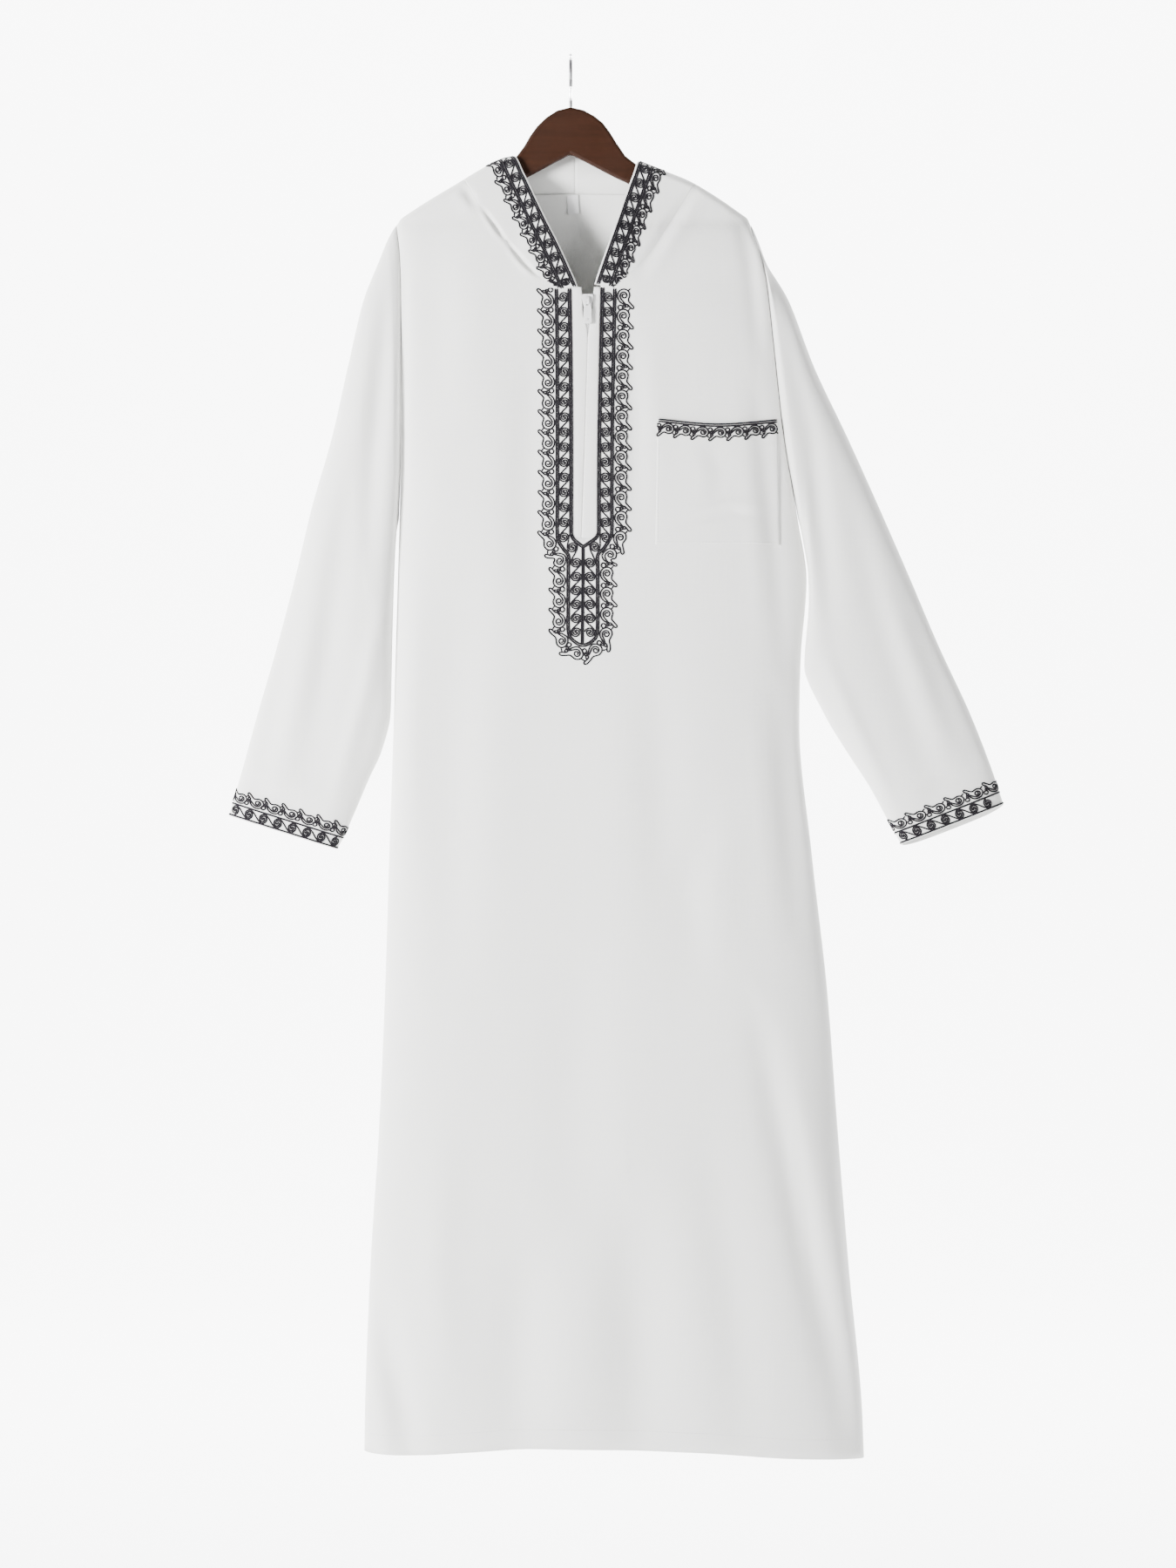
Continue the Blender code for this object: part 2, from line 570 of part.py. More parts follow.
def slot_edges(z):
    """Where the two flaps begin beside the slot, and the line where they meet."""
    left = column(BODY_ROWS, z, 3) + FLAP_GAP
    right = column(BODY_ROWS, z, 4) - FLAP_GAP
    return left, right


def make_flap(side, cloth):
    """One of the two narrow flaps that meet over the zip."""
    z = np.array([row[0] for row in FLAP_ROWS])
    left_edge, right_edge = slot_edges(z)
    free = np.array([row[1 if side == "left" else 2] for row in FLAP_ROWS])
    sewn = left_edge if side == "left" else right_edge
    low, high = (sewn, free) if side == "left" else (free, sewn)
    shares = np.array([0.0, 0.5, 1.0])
    x = low[:, None] + (high - low)[:, None] * shares
    heights = np.repeat(z[:, None], 3, axis=1)
    return add_sheet("zip_flap_" + side, front_point(x, heights, -FLAP_SINK), cloth, FLAP_WALL)


def make_zip_tape(finish):
    """The closed zip's tape under the flaps, below the slider."""
    z = np.linspace(SLIDER_FOOT - 1.0, SLOT_FOOT_Z + 3.0, 8)
    middle = np.interp(z, [row[0] for row in FLAP_ROWS][::-1],
                       [(row[1] + row[2]) / 2 for row in FLAP_ROWS][::-1])
    x = middle[:, None] + np.array([-9.0, 0.0, 9.0])
    heights = np.repeat(z[:, None], 3, axis=1)
    inside = -(FLAP_SINK + FLAP_WALL + SEAM_GAP + 0.1)
    return add_sheet("zip_tape", front_point(x, heights, inside), finish, TAPE_WALL)


def make_pocket(cloth):
    """The chest pocket: a patch made from the front's points, moved out."""
    shares = np.linspace(0.0, 1.0, 12)
    x = POCKET_LEFT + (POCKET_RIGHT - POCKET_LEFT) * shares
    top = POCKET_TOP - POCKET_DIP * np.sin(math.pi * shares) ** 1.2
    down = np.linspace(0.0, 1.0, 7)
    z = top + (POCKET_FOOT - top) * down[:, None]
    grid_x = np.repeat(x[None, :], 7, axis=0)
    return add_sheet("chest_pocket", front_point(grid_x, z, POCKET_LIFT + POCKET_WALL), cloth,
                     POCKET_WALL)


def make_label(cloth):
    """The blank loop label inside the back neck."""
    x = CENTRE_BACK_X - 4.5 + np.linspace(-LABEL_HALF_WIDTH, LABEL_HALF_WIDTH, 3)
    z = np.linspace(LABEL_TOP, LABEL_FOOT, 4)
    grid_x = np.repeat(x[None, :], 4, axis=0)
    grid_z = np.repeat(z[:, None], 3, axis=1)
    inside = -(WALL + LABEL_WALL + 3 * SEAM_GAP)
    return add_sheet("neck_label", back_point(grid_x, grid_z, inside), cloth, LABEL_WALL)


def slider_face():
    """How far forward the slider's back lies: just proud of the front panel."""
    return float(front_point(np.array(SLIDER_X), np.array(SLIDER_TOP))[1]) + 0.6


def add_plate(name, outline, back_y, thickness, finish, bevel):
    """A flat plate from an outline in X and Z, its back at back_y, growing forward."""
    area = sum(a[0] * b[1] - b[0] * a[1] for a, b in zip(outline, outline[1:] + outline[:1]))
    outline = outline[::-1] if area > 0 else outline
    count = len(outline)
    points = [(x, back_y, z) for x, z in outline]
    points += [(x, back_y - thickness, z) for x, z in outline]
    faces = [tuple(range(count)), tuple(range(2 * count - 1, count - 1, -1))]
    for index in range(count):
        after = (index + 1) % count
        faces.append((index, count + index, count + after, after))
    made = add_mesh(name, points, faces, finish)
    edge = made.modifiers.new("edge", "BEVEL")
    edge.width = bevel * MM
    edge.segments = 2
    edge.limit_method = "ANGLE"
    return made


def make_slider(finish):
    """The slider: a shield-shaped body under a bridge that holds the pull."""
    half = SLIDER_WIDTH / 2
    height = SLIDER_TOP - SLIDER_FOOT
    outline = [(-half, -0.3), (-half * 0.55, 0.0), (half * 0.55, 0.0), (half, -0.3),
               (half, -0.35 * height), (half * 0.62, -height), (-half * 0.62, -height),
               (-half, -0.35 * height)]
    outline = [(SLIDER_X + x, SLIDER_TOP + z) for x, z in outline]
    body = add_plate("zip_slider", outline, slider_face(), SLIDER_THICKNESS, finish, 0.4)
    front = slider_face() - SLIDER_THICKNESS
    arch = []
    steps = 9
    for index in range(steps):
        angle = math.pi * index / (steps - 1)
        arch.append((math.cos(angle), math.sin(angle)))
    outer = [(PULL_PIVOT_Z + BRIDGE_REACH * c,
              front + BRIDGE_SINK - (BRIDGE_RISE + BRIDGE_SINK) * s) for c, s in arch]
    inner = [(PULL_PIVOT_Z + (BRIDGE_REACH - BRIDGE_BAR) * c,
              front + BRIDGE_SINK - (BRIDGE_RISE - BRIDGE_BAR + BRIDGE_SINK) * s)
             for c, s in arch]
    ring = outer + inner[::-1]
    count = len(ring)
    points = [(SLIDER_X - BRIDGE_WIDTH / 2, y, z) for z, y in ring]
    points += [(SLIDER_X + BRIDGE_WIDTH / 2, y, z) for z, y in ring]
    faces = []
    for index in range(count):
        after = (index + 1) % count
        faces.append((index, after, count + after, count + index))
    for index in range(steps - 1):
        other = count - 1 - index
        faces.append((index + 1, index, other, other - 1))
        faces.append((count + index, count + index + 1, count + other - 1, count + other))
    bridge = add_mesh("slider_bridge_cutter", points, faces, finish)
    bridge.hide_render = True
    bridge.display_type = "WIRE"
    joined = body.modifiers.new("bridge", "BOOLEAN")
    joined.operation = "UNION"
    joined.object = bridge
    return body


def make_pull(finish):
    """The pull: its top bar lies under the bridge, with a small hole near its foot."""
    half, neck = PULL_WIDTH / 2, PULL_EYE_WIDTH / 2 + 1.3
    bar = PULL_BAR / 2
    outline = [(-neck, bar), (neck, bar), (neck, -PULL_EYE), (half, -PULL_EYE - 3.0),
               (half, -PULL_LENGTH + 1.4), (half - 1.4, -PULL_LENGTH),
               (-half + 1.4, -PULL_LENGTH), (-half, -PULL_LENGTH + 1.4),
               (-half, -PULL_EYE - 3.0), (-neck, -PULL_EYE)]
    outline = [(SLIDER_X + x, PULL_PIVOT_Z + z) for x, z in outline]
    back = slider_face() - SLIDER_THICKNESS - SEAM_GAP
    tab = add_plate("zip_pull", outline, back, PULL_THICKNESS, finish, 0.25)
    holes = (("pull_eye_cutter", PULL_EYE_WIDTH, -bar, -PULL_EYE),
             ("pull_hole_cutter", 2.4, -PULL_LENGTH + 5.6, -PULL_LENGTH + 3.4))
    for name, width, top, foot in holes:
        corners = [(-width / 2, foot), (width / 2, foot), (width / 2, top), (-width / 2, top)]
        cut = [(SLIDER_X + x, PULL_PIVOT_Z + z) for x, z in corners]
        cutter = add_plate(name, cut, back + 1.0, PULL_THICKNESS + 2.0, finish, 0.2)
        cutter.hide_render = True
        cutter.display_type = "WIRE"
        hole = tab.modifiers.new(name, "BOOLEAN")
        hole.object = cutter
    return tab


def make_wood(finish):
    """The hanger's wood: a flat, round-edged bow with arms that drop to the shoulders."""
    top = [(x, high) for x, high, low in WOOD_ROWS]
    under = [(x, low) for x, high, low in WOOD_ROWS]
    outline = under + top[::-1]
    return add_plate("hanger_wood", outline, WOOD_THICKNESS / 2, WOOD_THICKNESS, finish,
                     WOOD_BEVEL)


def make_hook(finish):
    """The steel hook: a straight shank, then a round bend that stands across the arms."""
    radius = HOOK_INNER_RADIUS + HOOK_WIRE / 2
    centre_z = -HOOK_INNER_RADIUS
    foot = max(high for across, high, low in WOOD_ROWS) + SEAM_GAP
    route = [(0.0, foot), (0.0, foot + 3.0), (0.0, foot + 7.0)]
    for degrees in np.linspace(HOOK_FROM_ANGLE, HOOK_TO_ANGLE, 25):
        angle = math.radians(degrees)
        route.append((radius * math.cos(angle), centre_z + radius * math.sin(angle)))
    smooth_route = resample(np.array(route), np.linspace(0.0, 1.0, 34))
    curve = bpy.data.curves.new("hanger_hook", "CURVE")
    curve.dimensions = "3D"
    curve.bevel_depth = HOOK_WIRE / 2 * MM
    curve.bevel_resolution = 3
    curve.use_fill_caps = True
    spline = curve.splines.new("POLY")
    spline.points.add(len(smooth_route) - 1)
    for point, (y, z) in zip(spline.points, smooth_route):
        point.co = (0.0, y * MM, z * MM, 1.0)
    curve.materials.append(finish)
    hook = bpy.data.objects.new("hanger_hook", curve)
    bpy.context.scene.collection.objects.link(hook)
    return hook


def main():
    for old in list(bpy.data.objects):
        bpy.data.objects.remove(old, do_unlink=True)
    cloth = material("white_cloth", (0.86, 0.86, 0.85), 0.85)
    tape = material("zip_tape_white", (0.84, 0.84, 0.83), 0.8)
    nylon = material("white_enamel", (0.83, 0.83, 0.82), 0.35)
    wood = material("dark_varnished_wood", (0.065, 0.022, 0.011), 0.35)
    steel = material("hook_steel", (0.6, 0.6, 0.6), 0.25, 1.0)
    make_front(cloth)
    make_back(cloth)
    make_sleeve("left", SLEEVE_LEFT, cloth)
    make_sleeve("right", SLEEVE_RIGHT, cloth)
    make_hood_half("left", HOOD_FRONT_LEFT, cloth)
    make_hood_half("right", HOOD_FRONT_RIGHT, cloth)
    make_flap("left", cloth)
    make_flap("right", cloth)
    make_zip_tape(tape)
    make_pocket(cloth)
    make_label(cloth)
    make_slider(nylon)
    make_pull(nylon)
    make_wood(wood)
    make_hook(steel)


if __name__ == "__main__":
    main()
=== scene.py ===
import math

import bpy
import numpy as np
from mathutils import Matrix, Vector


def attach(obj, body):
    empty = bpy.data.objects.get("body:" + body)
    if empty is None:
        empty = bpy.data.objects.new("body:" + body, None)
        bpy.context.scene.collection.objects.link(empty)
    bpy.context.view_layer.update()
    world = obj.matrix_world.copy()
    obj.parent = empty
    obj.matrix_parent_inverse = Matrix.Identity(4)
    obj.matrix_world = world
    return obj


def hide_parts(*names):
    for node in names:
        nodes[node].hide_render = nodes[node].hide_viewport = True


# A hooded white thobe with dark cord embroidery, hung on a flat wooden hanger.
# Sizes are in millimetres in the part's own frame: x to the photo's right, y away
# from the viewer, z up, from the inside top of the hanger's hook.
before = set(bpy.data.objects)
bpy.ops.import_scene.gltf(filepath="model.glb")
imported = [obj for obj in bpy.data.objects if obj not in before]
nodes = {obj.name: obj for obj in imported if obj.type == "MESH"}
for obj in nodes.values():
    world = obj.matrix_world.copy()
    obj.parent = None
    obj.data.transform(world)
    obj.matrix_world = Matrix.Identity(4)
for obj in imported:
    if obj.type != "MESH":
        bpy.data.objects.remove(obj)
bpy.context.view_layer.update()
mm = 0.001

print("tables")

# height, left edge, right edge, slot's left, slot's right, front depth, back depth
bodyRows = (
    (-50, -190, 196.7, 0, 33.3, 22, 21),
    (-184, -190, 196.7, 0, 33.3, 23, 21),
    (-215, -187, 206.8, 0, 33.3, 23.6, 21.6),
    (-250, -185.6, 213.9, 0.6, 32.6, 24.4, 22.4),
    (-307, -185.2, 220.4, 1.6, 31.5, 25, 23),
    (-416, -185.2, 232.8, 2, 29.6, 26, 24),
    (-506, -187.4, 248.6, 2, 29.2, 27, 25),
    (-573, -189.3, 258.4, -1, 29.5, 28, 26),
    (-663, -191.9, 251.8, -2, 30, 29, 27),
    (-731, -193.8, 250.6, -2, 32, 30, 28),
    (-872, -198.6, 264.1, 0, 36, 32, 30),
    (-1024, -203.3, 281.2, 6, 42, 35, 33),
    (-1176, -210, 292.6, 13, 49, 38, 36),
    (-1328, -219.5, 305, 20, 57, 42, 40),
    (-1480, -225.2, 319.2, 28, 65, 45, 43),
    (-1540, -226.1, 321.5, 30, 68, 46, 44),
)
# across, height of the cloth's highest line over the hanger's arms
ridgeRows = (
    (-190, -184), (-186, -177.6), (-179.6, -172.8), (-131, -142.4), (-76, -112),
    (-60, -107.8), (-44, -84), (0, -50), (44, -81), (60, -105),
    (71, -112), (128.3, -134.8), (154.9, -150), (188.1, -172.8), (193.6, -177),
    (196.7, -184),
)
# neck seam x and z, rim x and z, from the zip's top up to the shoulder
hoodFrontLeft = (
    (-14.3, -256.4, 7.6, -253.6),
    (-31.4, -245, -2.9, -229.8),
    (-50.4, -227.9, -14.3, -205.1),
    (-66.5, -208, -25.7, -182.3),
    (-81.7, -188, -37.1, -158.6),
    (-98.8, -164, -48.5, -133.9),
    (-118.8, -136.4, -62.5, -108.8),
)
hoodFrontRight = (
    (48.5, -254.4, 26.6, -250.7),
    (63.7, -241.2, 34.2, -227.9),
    (78.9, -225, 42.3, -205.1),
    (93.1, -207, 50.4, -182.3),
    (105.5, -187, 58, -159.5),
    (120.6, -163, 66, -136.7),
    (137.8, -140.4, 75.5, -113.9),
)
# share of the way to centre back; then out from centre back and height of the neck
# seam, the ridge behind the hanger, the pouch's lower outline and the rim
hoodBackRows = (
    (0.00, 123.8, -136.4, 118, -134.5, 122, -139.5, 67.5, -108.8),
    (0.08, 118, -141.5, 108, -128, 130, -156, 70, -121),
    (0.22, 100, -146, 88, -117.5, 141, -196, 70, -146),
    (0.40, 76, -148.5, 66, -106, 145, -250, 66, -180),
    (0.60, 50, -149, 43, -95, 122, -308, 52, -214),
    (0.80, 25, -148.5, 21, -89, 67, -352, 29, -240),
    (1.00, 0, -148, 0, -87, 0, -372, 0, -252),
)
# outer x and z, inner x and z, front half depth, back half depth, fall of the back layer
sleeveLeft = (
    (-195, -190, -190.6, -520, 11, 17, 0),
    (-200.8, -201, -192, -541, 15, 19, 0),
    (-210.9, -226, -193.2, -570, 17, 20, 0),
    (-226.1, -264, -194.2, -602, 19, 20, 0),
    (-244.2, -340, -195.2, -640, 21, 21, 0),
    (-261.3, -416, -196, -678, 22, 21, 0),
    (-283.1, -492, -197, -718, 22, 21, 0),
    (-301.2, -568, -206.2, -758, 21, 20, 0),
    (-321.1, -644, -221, -791, 20, 19, 0),
    (-343, -720, -235, -824, 18, 18, 0),
    (-361.5, -787, -246.5, -850, 16, 17, 0),
    (-374.3, -830.2, -255.6, -867.3, 14, 16, 0),
)
sleeveRight = (
    (200.6, -190, 251.9, -516, 15, 17, 0),
    (206, -203, 255.5, -535, 18, 19, 0),
    (214.6, -226, 259.2, -556, 20, 20, 0),
    (237.5, -264, 261.9, -580, 21, 20, 0),
    (267, -340, 261, -606, 22, 21, 0),
    (303, -416, 257.9, -636, 22, 21, 0),
    (337.3, -492, 255.9, -668, 22, 21, 0.5),
    (370.5, -568, 279, -722, 21, 20, 2),
    (402.8, -644, 301.5, -759, 20, 19, 4),
    (438, -720, 327.5, -799, 18, 18, 5),
    (461, -779, 346.5, -834, 16, 17, 6),
    (474, -818, 362, -861.6, 14, 16, 6),
)
# across, height of the front hem, height of the back hem
hemRows = (
    (-226, -1525, -1525.5), (-186, -1526, -1528), (-109, -1521.8, -1525.5),
    (-36, -1518, -1519), (130, -1521.8, -1520.5), (237, -1529.4, -1527),
    (321, -1533, -1532.5),
)
# height, left flap's free edge, right flap's free edge
flapRows = (
    (-256.5, 11.4, 25.8), (-262, 12.1, 25.2), (-280, 12.6, 24.4), (-296, 16.6, 21.4),
    (-310, 18.3, 19.3), (-400, 15.6, 16.6), (-460, 13.6, 14.6), (-526.5, 11.4, 12.4),
)

form = {
    "seamGap": 0.3, "armholeGap": 0.6, "shoulderZ": -184.0, "underarmZ": -506.0,
    "rollRadius": 9.0, "rollShare": 0.5, "chestDrop": 160.0, "hemZ": -1526.0,
    "slotTopZ": -257.0, "slotFootZ": -530.0, "centreBackX": 5.0, "hoodRightSpread": 1.07,
    "armholeFrontLeft": 5.0, "armholeFrontRight": 12.0, "armholeBack": 14.0,
    "sidePowerLeft": 7.0, "sidePowerRight": 3.8, "shoulderPower": 14.0, "foldGain": 1.9,
    "halfGap": 0.15, "leftTopX": -190.0, "rightTopX": 196.7, "slotRightX": 33.3,
    "neckOut": 123.8, "neckFall": 4.0, "creaseFrom": 3.0, "creaseOver": 12.0,
}
signOf = {"left": -1.0, "right": 1.0}
edgeColumn = {"left": 1, "right": 2}


def ease(value):
    # 3t^2 - 2t^3 between 0 and 1, flat at both ends
    value = np.clip(value, 0.0, 1.0)
    return value * value * (3.0 - 2.0 * value)


def through(rows, at, column):
    # one smooth curve through a table's column: cubic runs whose slopes are the
    # harmonic means of the straight runs beside each point, 0 at a turn
    table = np.asarray(rows, float)
    table = table[np.argsort(table[:, 0])]
    xs, ys = table[:, 0], table[:, column]
    width = np.diff(xs)
    run = np.diff(ys) / width
    slope = np.concatenate([run[:1], np.zeros(len(xs) - 2), run[-1:]])
    same = run[:-1] * run[1:] > 0
    slope[1:-1][same] = (2 * run[:-1] * run[1:] / np.where(same, run[:-1] + run[1:], 1.0))[same]
    at = np.clip(np.asarray(at, float), xs[0], xs[-1])
    low = np.clip(np.searchsorted(xs, at, side="right") - 1, 0, len(xs) - 2)
    t = (at - xs[low]) / width[low]
    return ((1 + 2 * t) * (1 - t) ** 2 * ys[low] + t * (1 - t) ** 2 * width[low] * slope[low]
            + t * t * (3 - 2 * t) * ys[low + 1] - t * t * (1 - t) * width[low] * slope[low + 1])


def along(points, shares):
    # points at given shares of the length of a Catmull-Rom curve through the given points
    points = np.asarray(points, float)
    padded = np.vstack([2 * points[:1] - points[1:2], points, 2 * points[-1:] - points[-2:-1]])
    t = np.linspace(0.0, 1.0, 13)[:-1, None, None]
    a, b, c, d = padded[:-3], padded[1:-2], padded[2:-1], padded[3:]
    fine = 0.5 * (2 * b + (c - a) * t + (2 * a - 5 * b + 4 * c - d) * t ** 2
                  + (3 * b - a - 3 * c + d) * t ** 3)
    fine = np.vstack([fine.transpose(1, 0, 2).reshape(-1, points.shape[1]), points[-1:]])
    length = np.concatenate([[0.0], np.cumsum(np.linalg.norm(np.diff(fine, axis=0), axis=1))])
    at = np.asarray(shares) * length[-1]
    return np.stack([np.interp(at, length, fine[:, axis]) for axis in range(fine.shape[1])], axis=-1)


def rounded(share, power):
    # a flat section with round edges: (1 - |2s - 1|^power)^0.5
    return np.sqrt(np.clip(1.0 - np.abs(2.0 * share - 1.0) ** power, 0.0, 1.0))


def armholeDepth(z, most):
    # opens fast at the shoulder and tapers as a cosine to the underarm
    share = (form["shoulderZ"] - np.asarray(z, float)) / (form["shoulderZ"] - form["underarmZ"])
    taper = np.cos(math.pi / 2 * np.clip(2.0 * share - 1.0, 0.0, 1.0) ** 1.5) ** 0.9
    upper = rounded(np.clip(share, 0.0, 0.5), 6.0)
    return np.where((share > 0.0) & (share < 1.0), most * np.minimum(upper, taper), 0.0)


def rollDown(x, z):
    # share of the depth below the ridge: a quarter turn over the arm, then a slow opening
    fall = np.maximum(through(ridgeRows, x, 1) - z, 0.0)
    turn = np.sqrt(np.clip(1.0 - (1.0 - np.minimum(fall / form["rollRadius"], 1.0)) ** 2, 0.0, 1.0))
    return form["rollShare"] * turn + (1.0 - form["rollShare"]) * ease(fall / form["chestDrop"])


def panelDepth(x, z, side):
    # half a gap, plus the armhole, plus what is left of the full depth times a round-edged
    # section across and the roll over the hanger
    left, right = through(bodyRows, z, 1), through(bodyRows, z, 2)
    across = np.clip(2.0 * (x - left) / (right - left) - 1.0, -1.0, 1.0)
    square = 1.0 - ease((form["shoulderZ"] - 6.0 - z) / 60.0)
    if side == "front":
        power = np.where(across < 0.0, form["sidePowerLeft"], form["sidePowerRight"])
        most = np.where(across < 0.0, form["armholeFrontLeft"], form["armholeFrontRight"])
        full = through(bodyRows, z, 5)
    else:
        power, most, full = 5.0, form["armholeBack"], through(bodyRows, z, 6)
    power = power + (form["shoulderPower"] - power) * square
    edge = armholeDepth(z, most)
    body = np.sqrt(np.clip(1.0 - np.abs(across) ** power, 0.0, 1.0))
    return form["halfGap"] + edge + np.maximum(full - edge, 0.0) * body * rollDown(x, z)


def foldHeight(x, z, folds):
    # each fold is a line of points with a soft section: height times exp(-(d/w)^2) at a
    # distance d, fading to nothing at both ends, with a lower ridge beside it at +-1.7 w
    total = np.zeros(np.broadcast(x, z).shape)
    for line, width, height, lean in folds:
        height = height * form["foldGain"]
        line = np.asarray(line, float)
        steps = np.diff(line, axis=0)
        lengths = np.linalg.norm(steps, axis=1)
        starts = np.concatenate([[0.0], np.cumsum(lengths)])
        best = np.full(total.shape, 1e9)
        side = np.zeros(total.shape)
        share = np.zeros(total.shape)
        for index, (start, step) in enumerate(zip(line[:-1], steps)):
            dx, dz = x - start[0], z - start[1]
            t = np.clip((dx * step[0] + dz * step[1]) / lengths[index] ** 2, 0.0, 1.0)
            away = np.hypot(dx - t * step[0], dz - t * step[1])
            nearer = away < best
            best = np.where(nearer, away, best)
            cross = (step[0] * dz - step[1] * dx) / lengths[index]
            side = np.where(nearer, np.where(cross < 0, -away, away), side)
            share = np.where(nearer, (starts[index] + t * lengths[index]) / starts[-1], share)
        fade = np.sin(math.pi * (0.04 + 0.92 * share)) ** 0.8
        ridge = np.exp(-((side - 1.7 * lean * width) / (1.3 * width)) ** 2)
        total += fade * height * np.exp(-(best / width) ** 2)
        total -= fade * height * 0.5 * lean ** 2 * ridge
    return total


# line of (x, z), half width, height (below 0 is a trough), side of its ridge
frontFolds = (
    (((-181.5, -222), (-182.5, -320), (-183, -470), (-187, -560)), 3.6, -3.4, 0),
    (((-93, -171), (-84, -184.5), (-72, -201)), 2.7, -2.2, -0.8),
    (((-67, -207), (-53, -225), (-37, -240.5)), 2.7, -2.3, -0.8),
    (((-119, -143), (-104, -162)), 5, -1.8, -1),
    (((138, -146), (112, -180), (93, -211), (74, -238)), 6.5, -2.2, 1),
    (((-150, -190), (-146, -300), (-152, -420)), 24, -1.6, 1),
    (((-40, -330), (-46, -480), (-40, -620)), 22, -1.5, -1),
    (((66, -300), (72, -400), (70, -520)), 12, -1.3, 1),
    (((202, -360), (214, -470), (224, -560), (232, -660)), 11, -1.6, -1),
    (((180, -150), (196, -230), (206, -330)), 8, -1.2, 1),
    (((-170, -560), (-178, -700), (-182, -900)), 18, 2.2, 0),
    (((-120, -560), (-128, -760), (-132, -1020)), 26, -1.8, 1),
    (((92, -640), (100, -800), (108, -980)), 26, -1.6, -1),
    (((150, -820), (130, -900), (136, -1010)), 18, -1.2, 1),
    (((228, -700), (236, -820), (248, -960)), 14, -1.8, -1),
    (((206, -1060), (226, -1160), (256, -1300), (284, -1420), (306, -1530)), 17, -4.4, 1),
    (((150, -1180), (172, -1320), (186, -1440), (190, -1540)), 26, -2, -1),
    (((-206, -1350), (-196, -1420), (-182, -1480), (-172, -1545)), 17, -4.6, -1),
    (((-52, -1300), (-56, -1420), (-60, -1560)), 30, -3, 1),
    (((66, -1260), (74, -1400), (72, -1560)), 32, -3.2, -1),
    (((-140, -1180), (-146, -1320), (-132, -1480)), 24, 2.2, 0),
    (((10, -960), (4, -1120), (12, -1300)), 34, -1.6, 1),
)
backFolds = (
    (((-176, -232), (-180, -340), (-182, -470), (-186, -560)), 5, -2.6, 0),
    (((196, -240), (214, -360), (230, -480), (240, -600)), 8, -2.4, -1),
    (((-118, -330), (-124, -470), (-118, -640)), 22, -2.2, 1),
    (((120, -360), (132, -520), (128, -700)), 20, -2.4, -1),
    (((0, -430), (4, -620), (-4, -860)), 30, -2.2, 1),
    (((-70, -760), (-82, -980), (-78, -1240)), 26, -3, -1),
    (((90, -820), (104, -1040), (122, -1290)), 26, -3.2, 1),
    (((200, -760), (216, -960), (240, -1180)), 16, -3, -1),
    (((-160, -900), (-176, -1120), (-186, -1400), (-192, -1545)), 17, -4.4, 1),
    (((226, -1150), (252, -1340), (270, -1545)), 20, -4.6, -1),
    (((-90, -1300), (-104, -1420), (-110, -1560)), 26, -4, -1),
    (((30, -1200), (40, -1380), (36, -1560)), 30, -4.2, 1),
    (((140, -1260), (160, -1400), (166, -1560)), 24, 3.4, 0),
)


def panelPoint(x, z, side, out):
    # the outer face of the front or the back, lifted by a distance; creases fade in where
    # the cloth stands off the seams
    way, folds = (-1.0, frontFolds) if side == "front" else (1.0, backFolds)
    depth = panelDepth(x, z, side)
    crease = foldHeight(x, z, folds) * ease((depth - form["creaseFrom"]) / form["creaseOver"])
    return np.stack(np.broadcast_arrays(x, way * (depth + crease + out), z), axis=-1)


def frontPoint(x, z, out=0.0):
    return panelPoint(x, z, "front", out)


def backPoint(x, z, out=0.0):
    return panelPoint(x, z, "back", out)


def gridNormals(grid, ring=False):
    # cross product of the central differences along both parameters
    if ring:
        across = np.roll(grid, -1, axis=1) - np.roll(grid, 1, axis=1)
    else:
        across = np.gradient(grid, axis=1)
    down = np.gradient(grid, axis=0)
    normal = np.cross(down, across)
    return normal / np.maximum(np.linalg.norm(normal, axis=-1, keepdims=True), 1e-9)


def buildMesh(name, points, quads, material, uv=None):
    # points in millimetres, quads as an array of corner numbers, uv per point
    mesh = bpy.data.meshes.new(name)
    mesh.vertices.add(len(points))
    mesh.vertices.foreach_set("co", np.ascontiguousarray(points * mm, np.float32).ravel())
    corners = np.asarray(quads, np.int32).ravel()
    mesh.loops.add(len(corners))
    mesh.loops.foreach_set("vertex_index", corners)
    mesh.polygons.add(len(quads))
    mesh.polygons.foreach_set("loop_start", np.arange(0, len(corners), 4, dtype=np.int32))
    mesh.polygons.foreach_set("use_smooth", np.ones(len(quads), bool))
    if uv is not None:
        layer = mesh.uv_layers.new(name="UVMap")
        layer.data.foreach_set("uv", np.ascontiguousarray(uv[corners], np.float32).ravel())
    mesh.materials.append(material)
    mesh.update(calc_edges=True)
    mesh.validate()
    made = bpy.data.objects.new(name, mesh)
    bpy.context.scene.collection.objects.link(made)
    return made


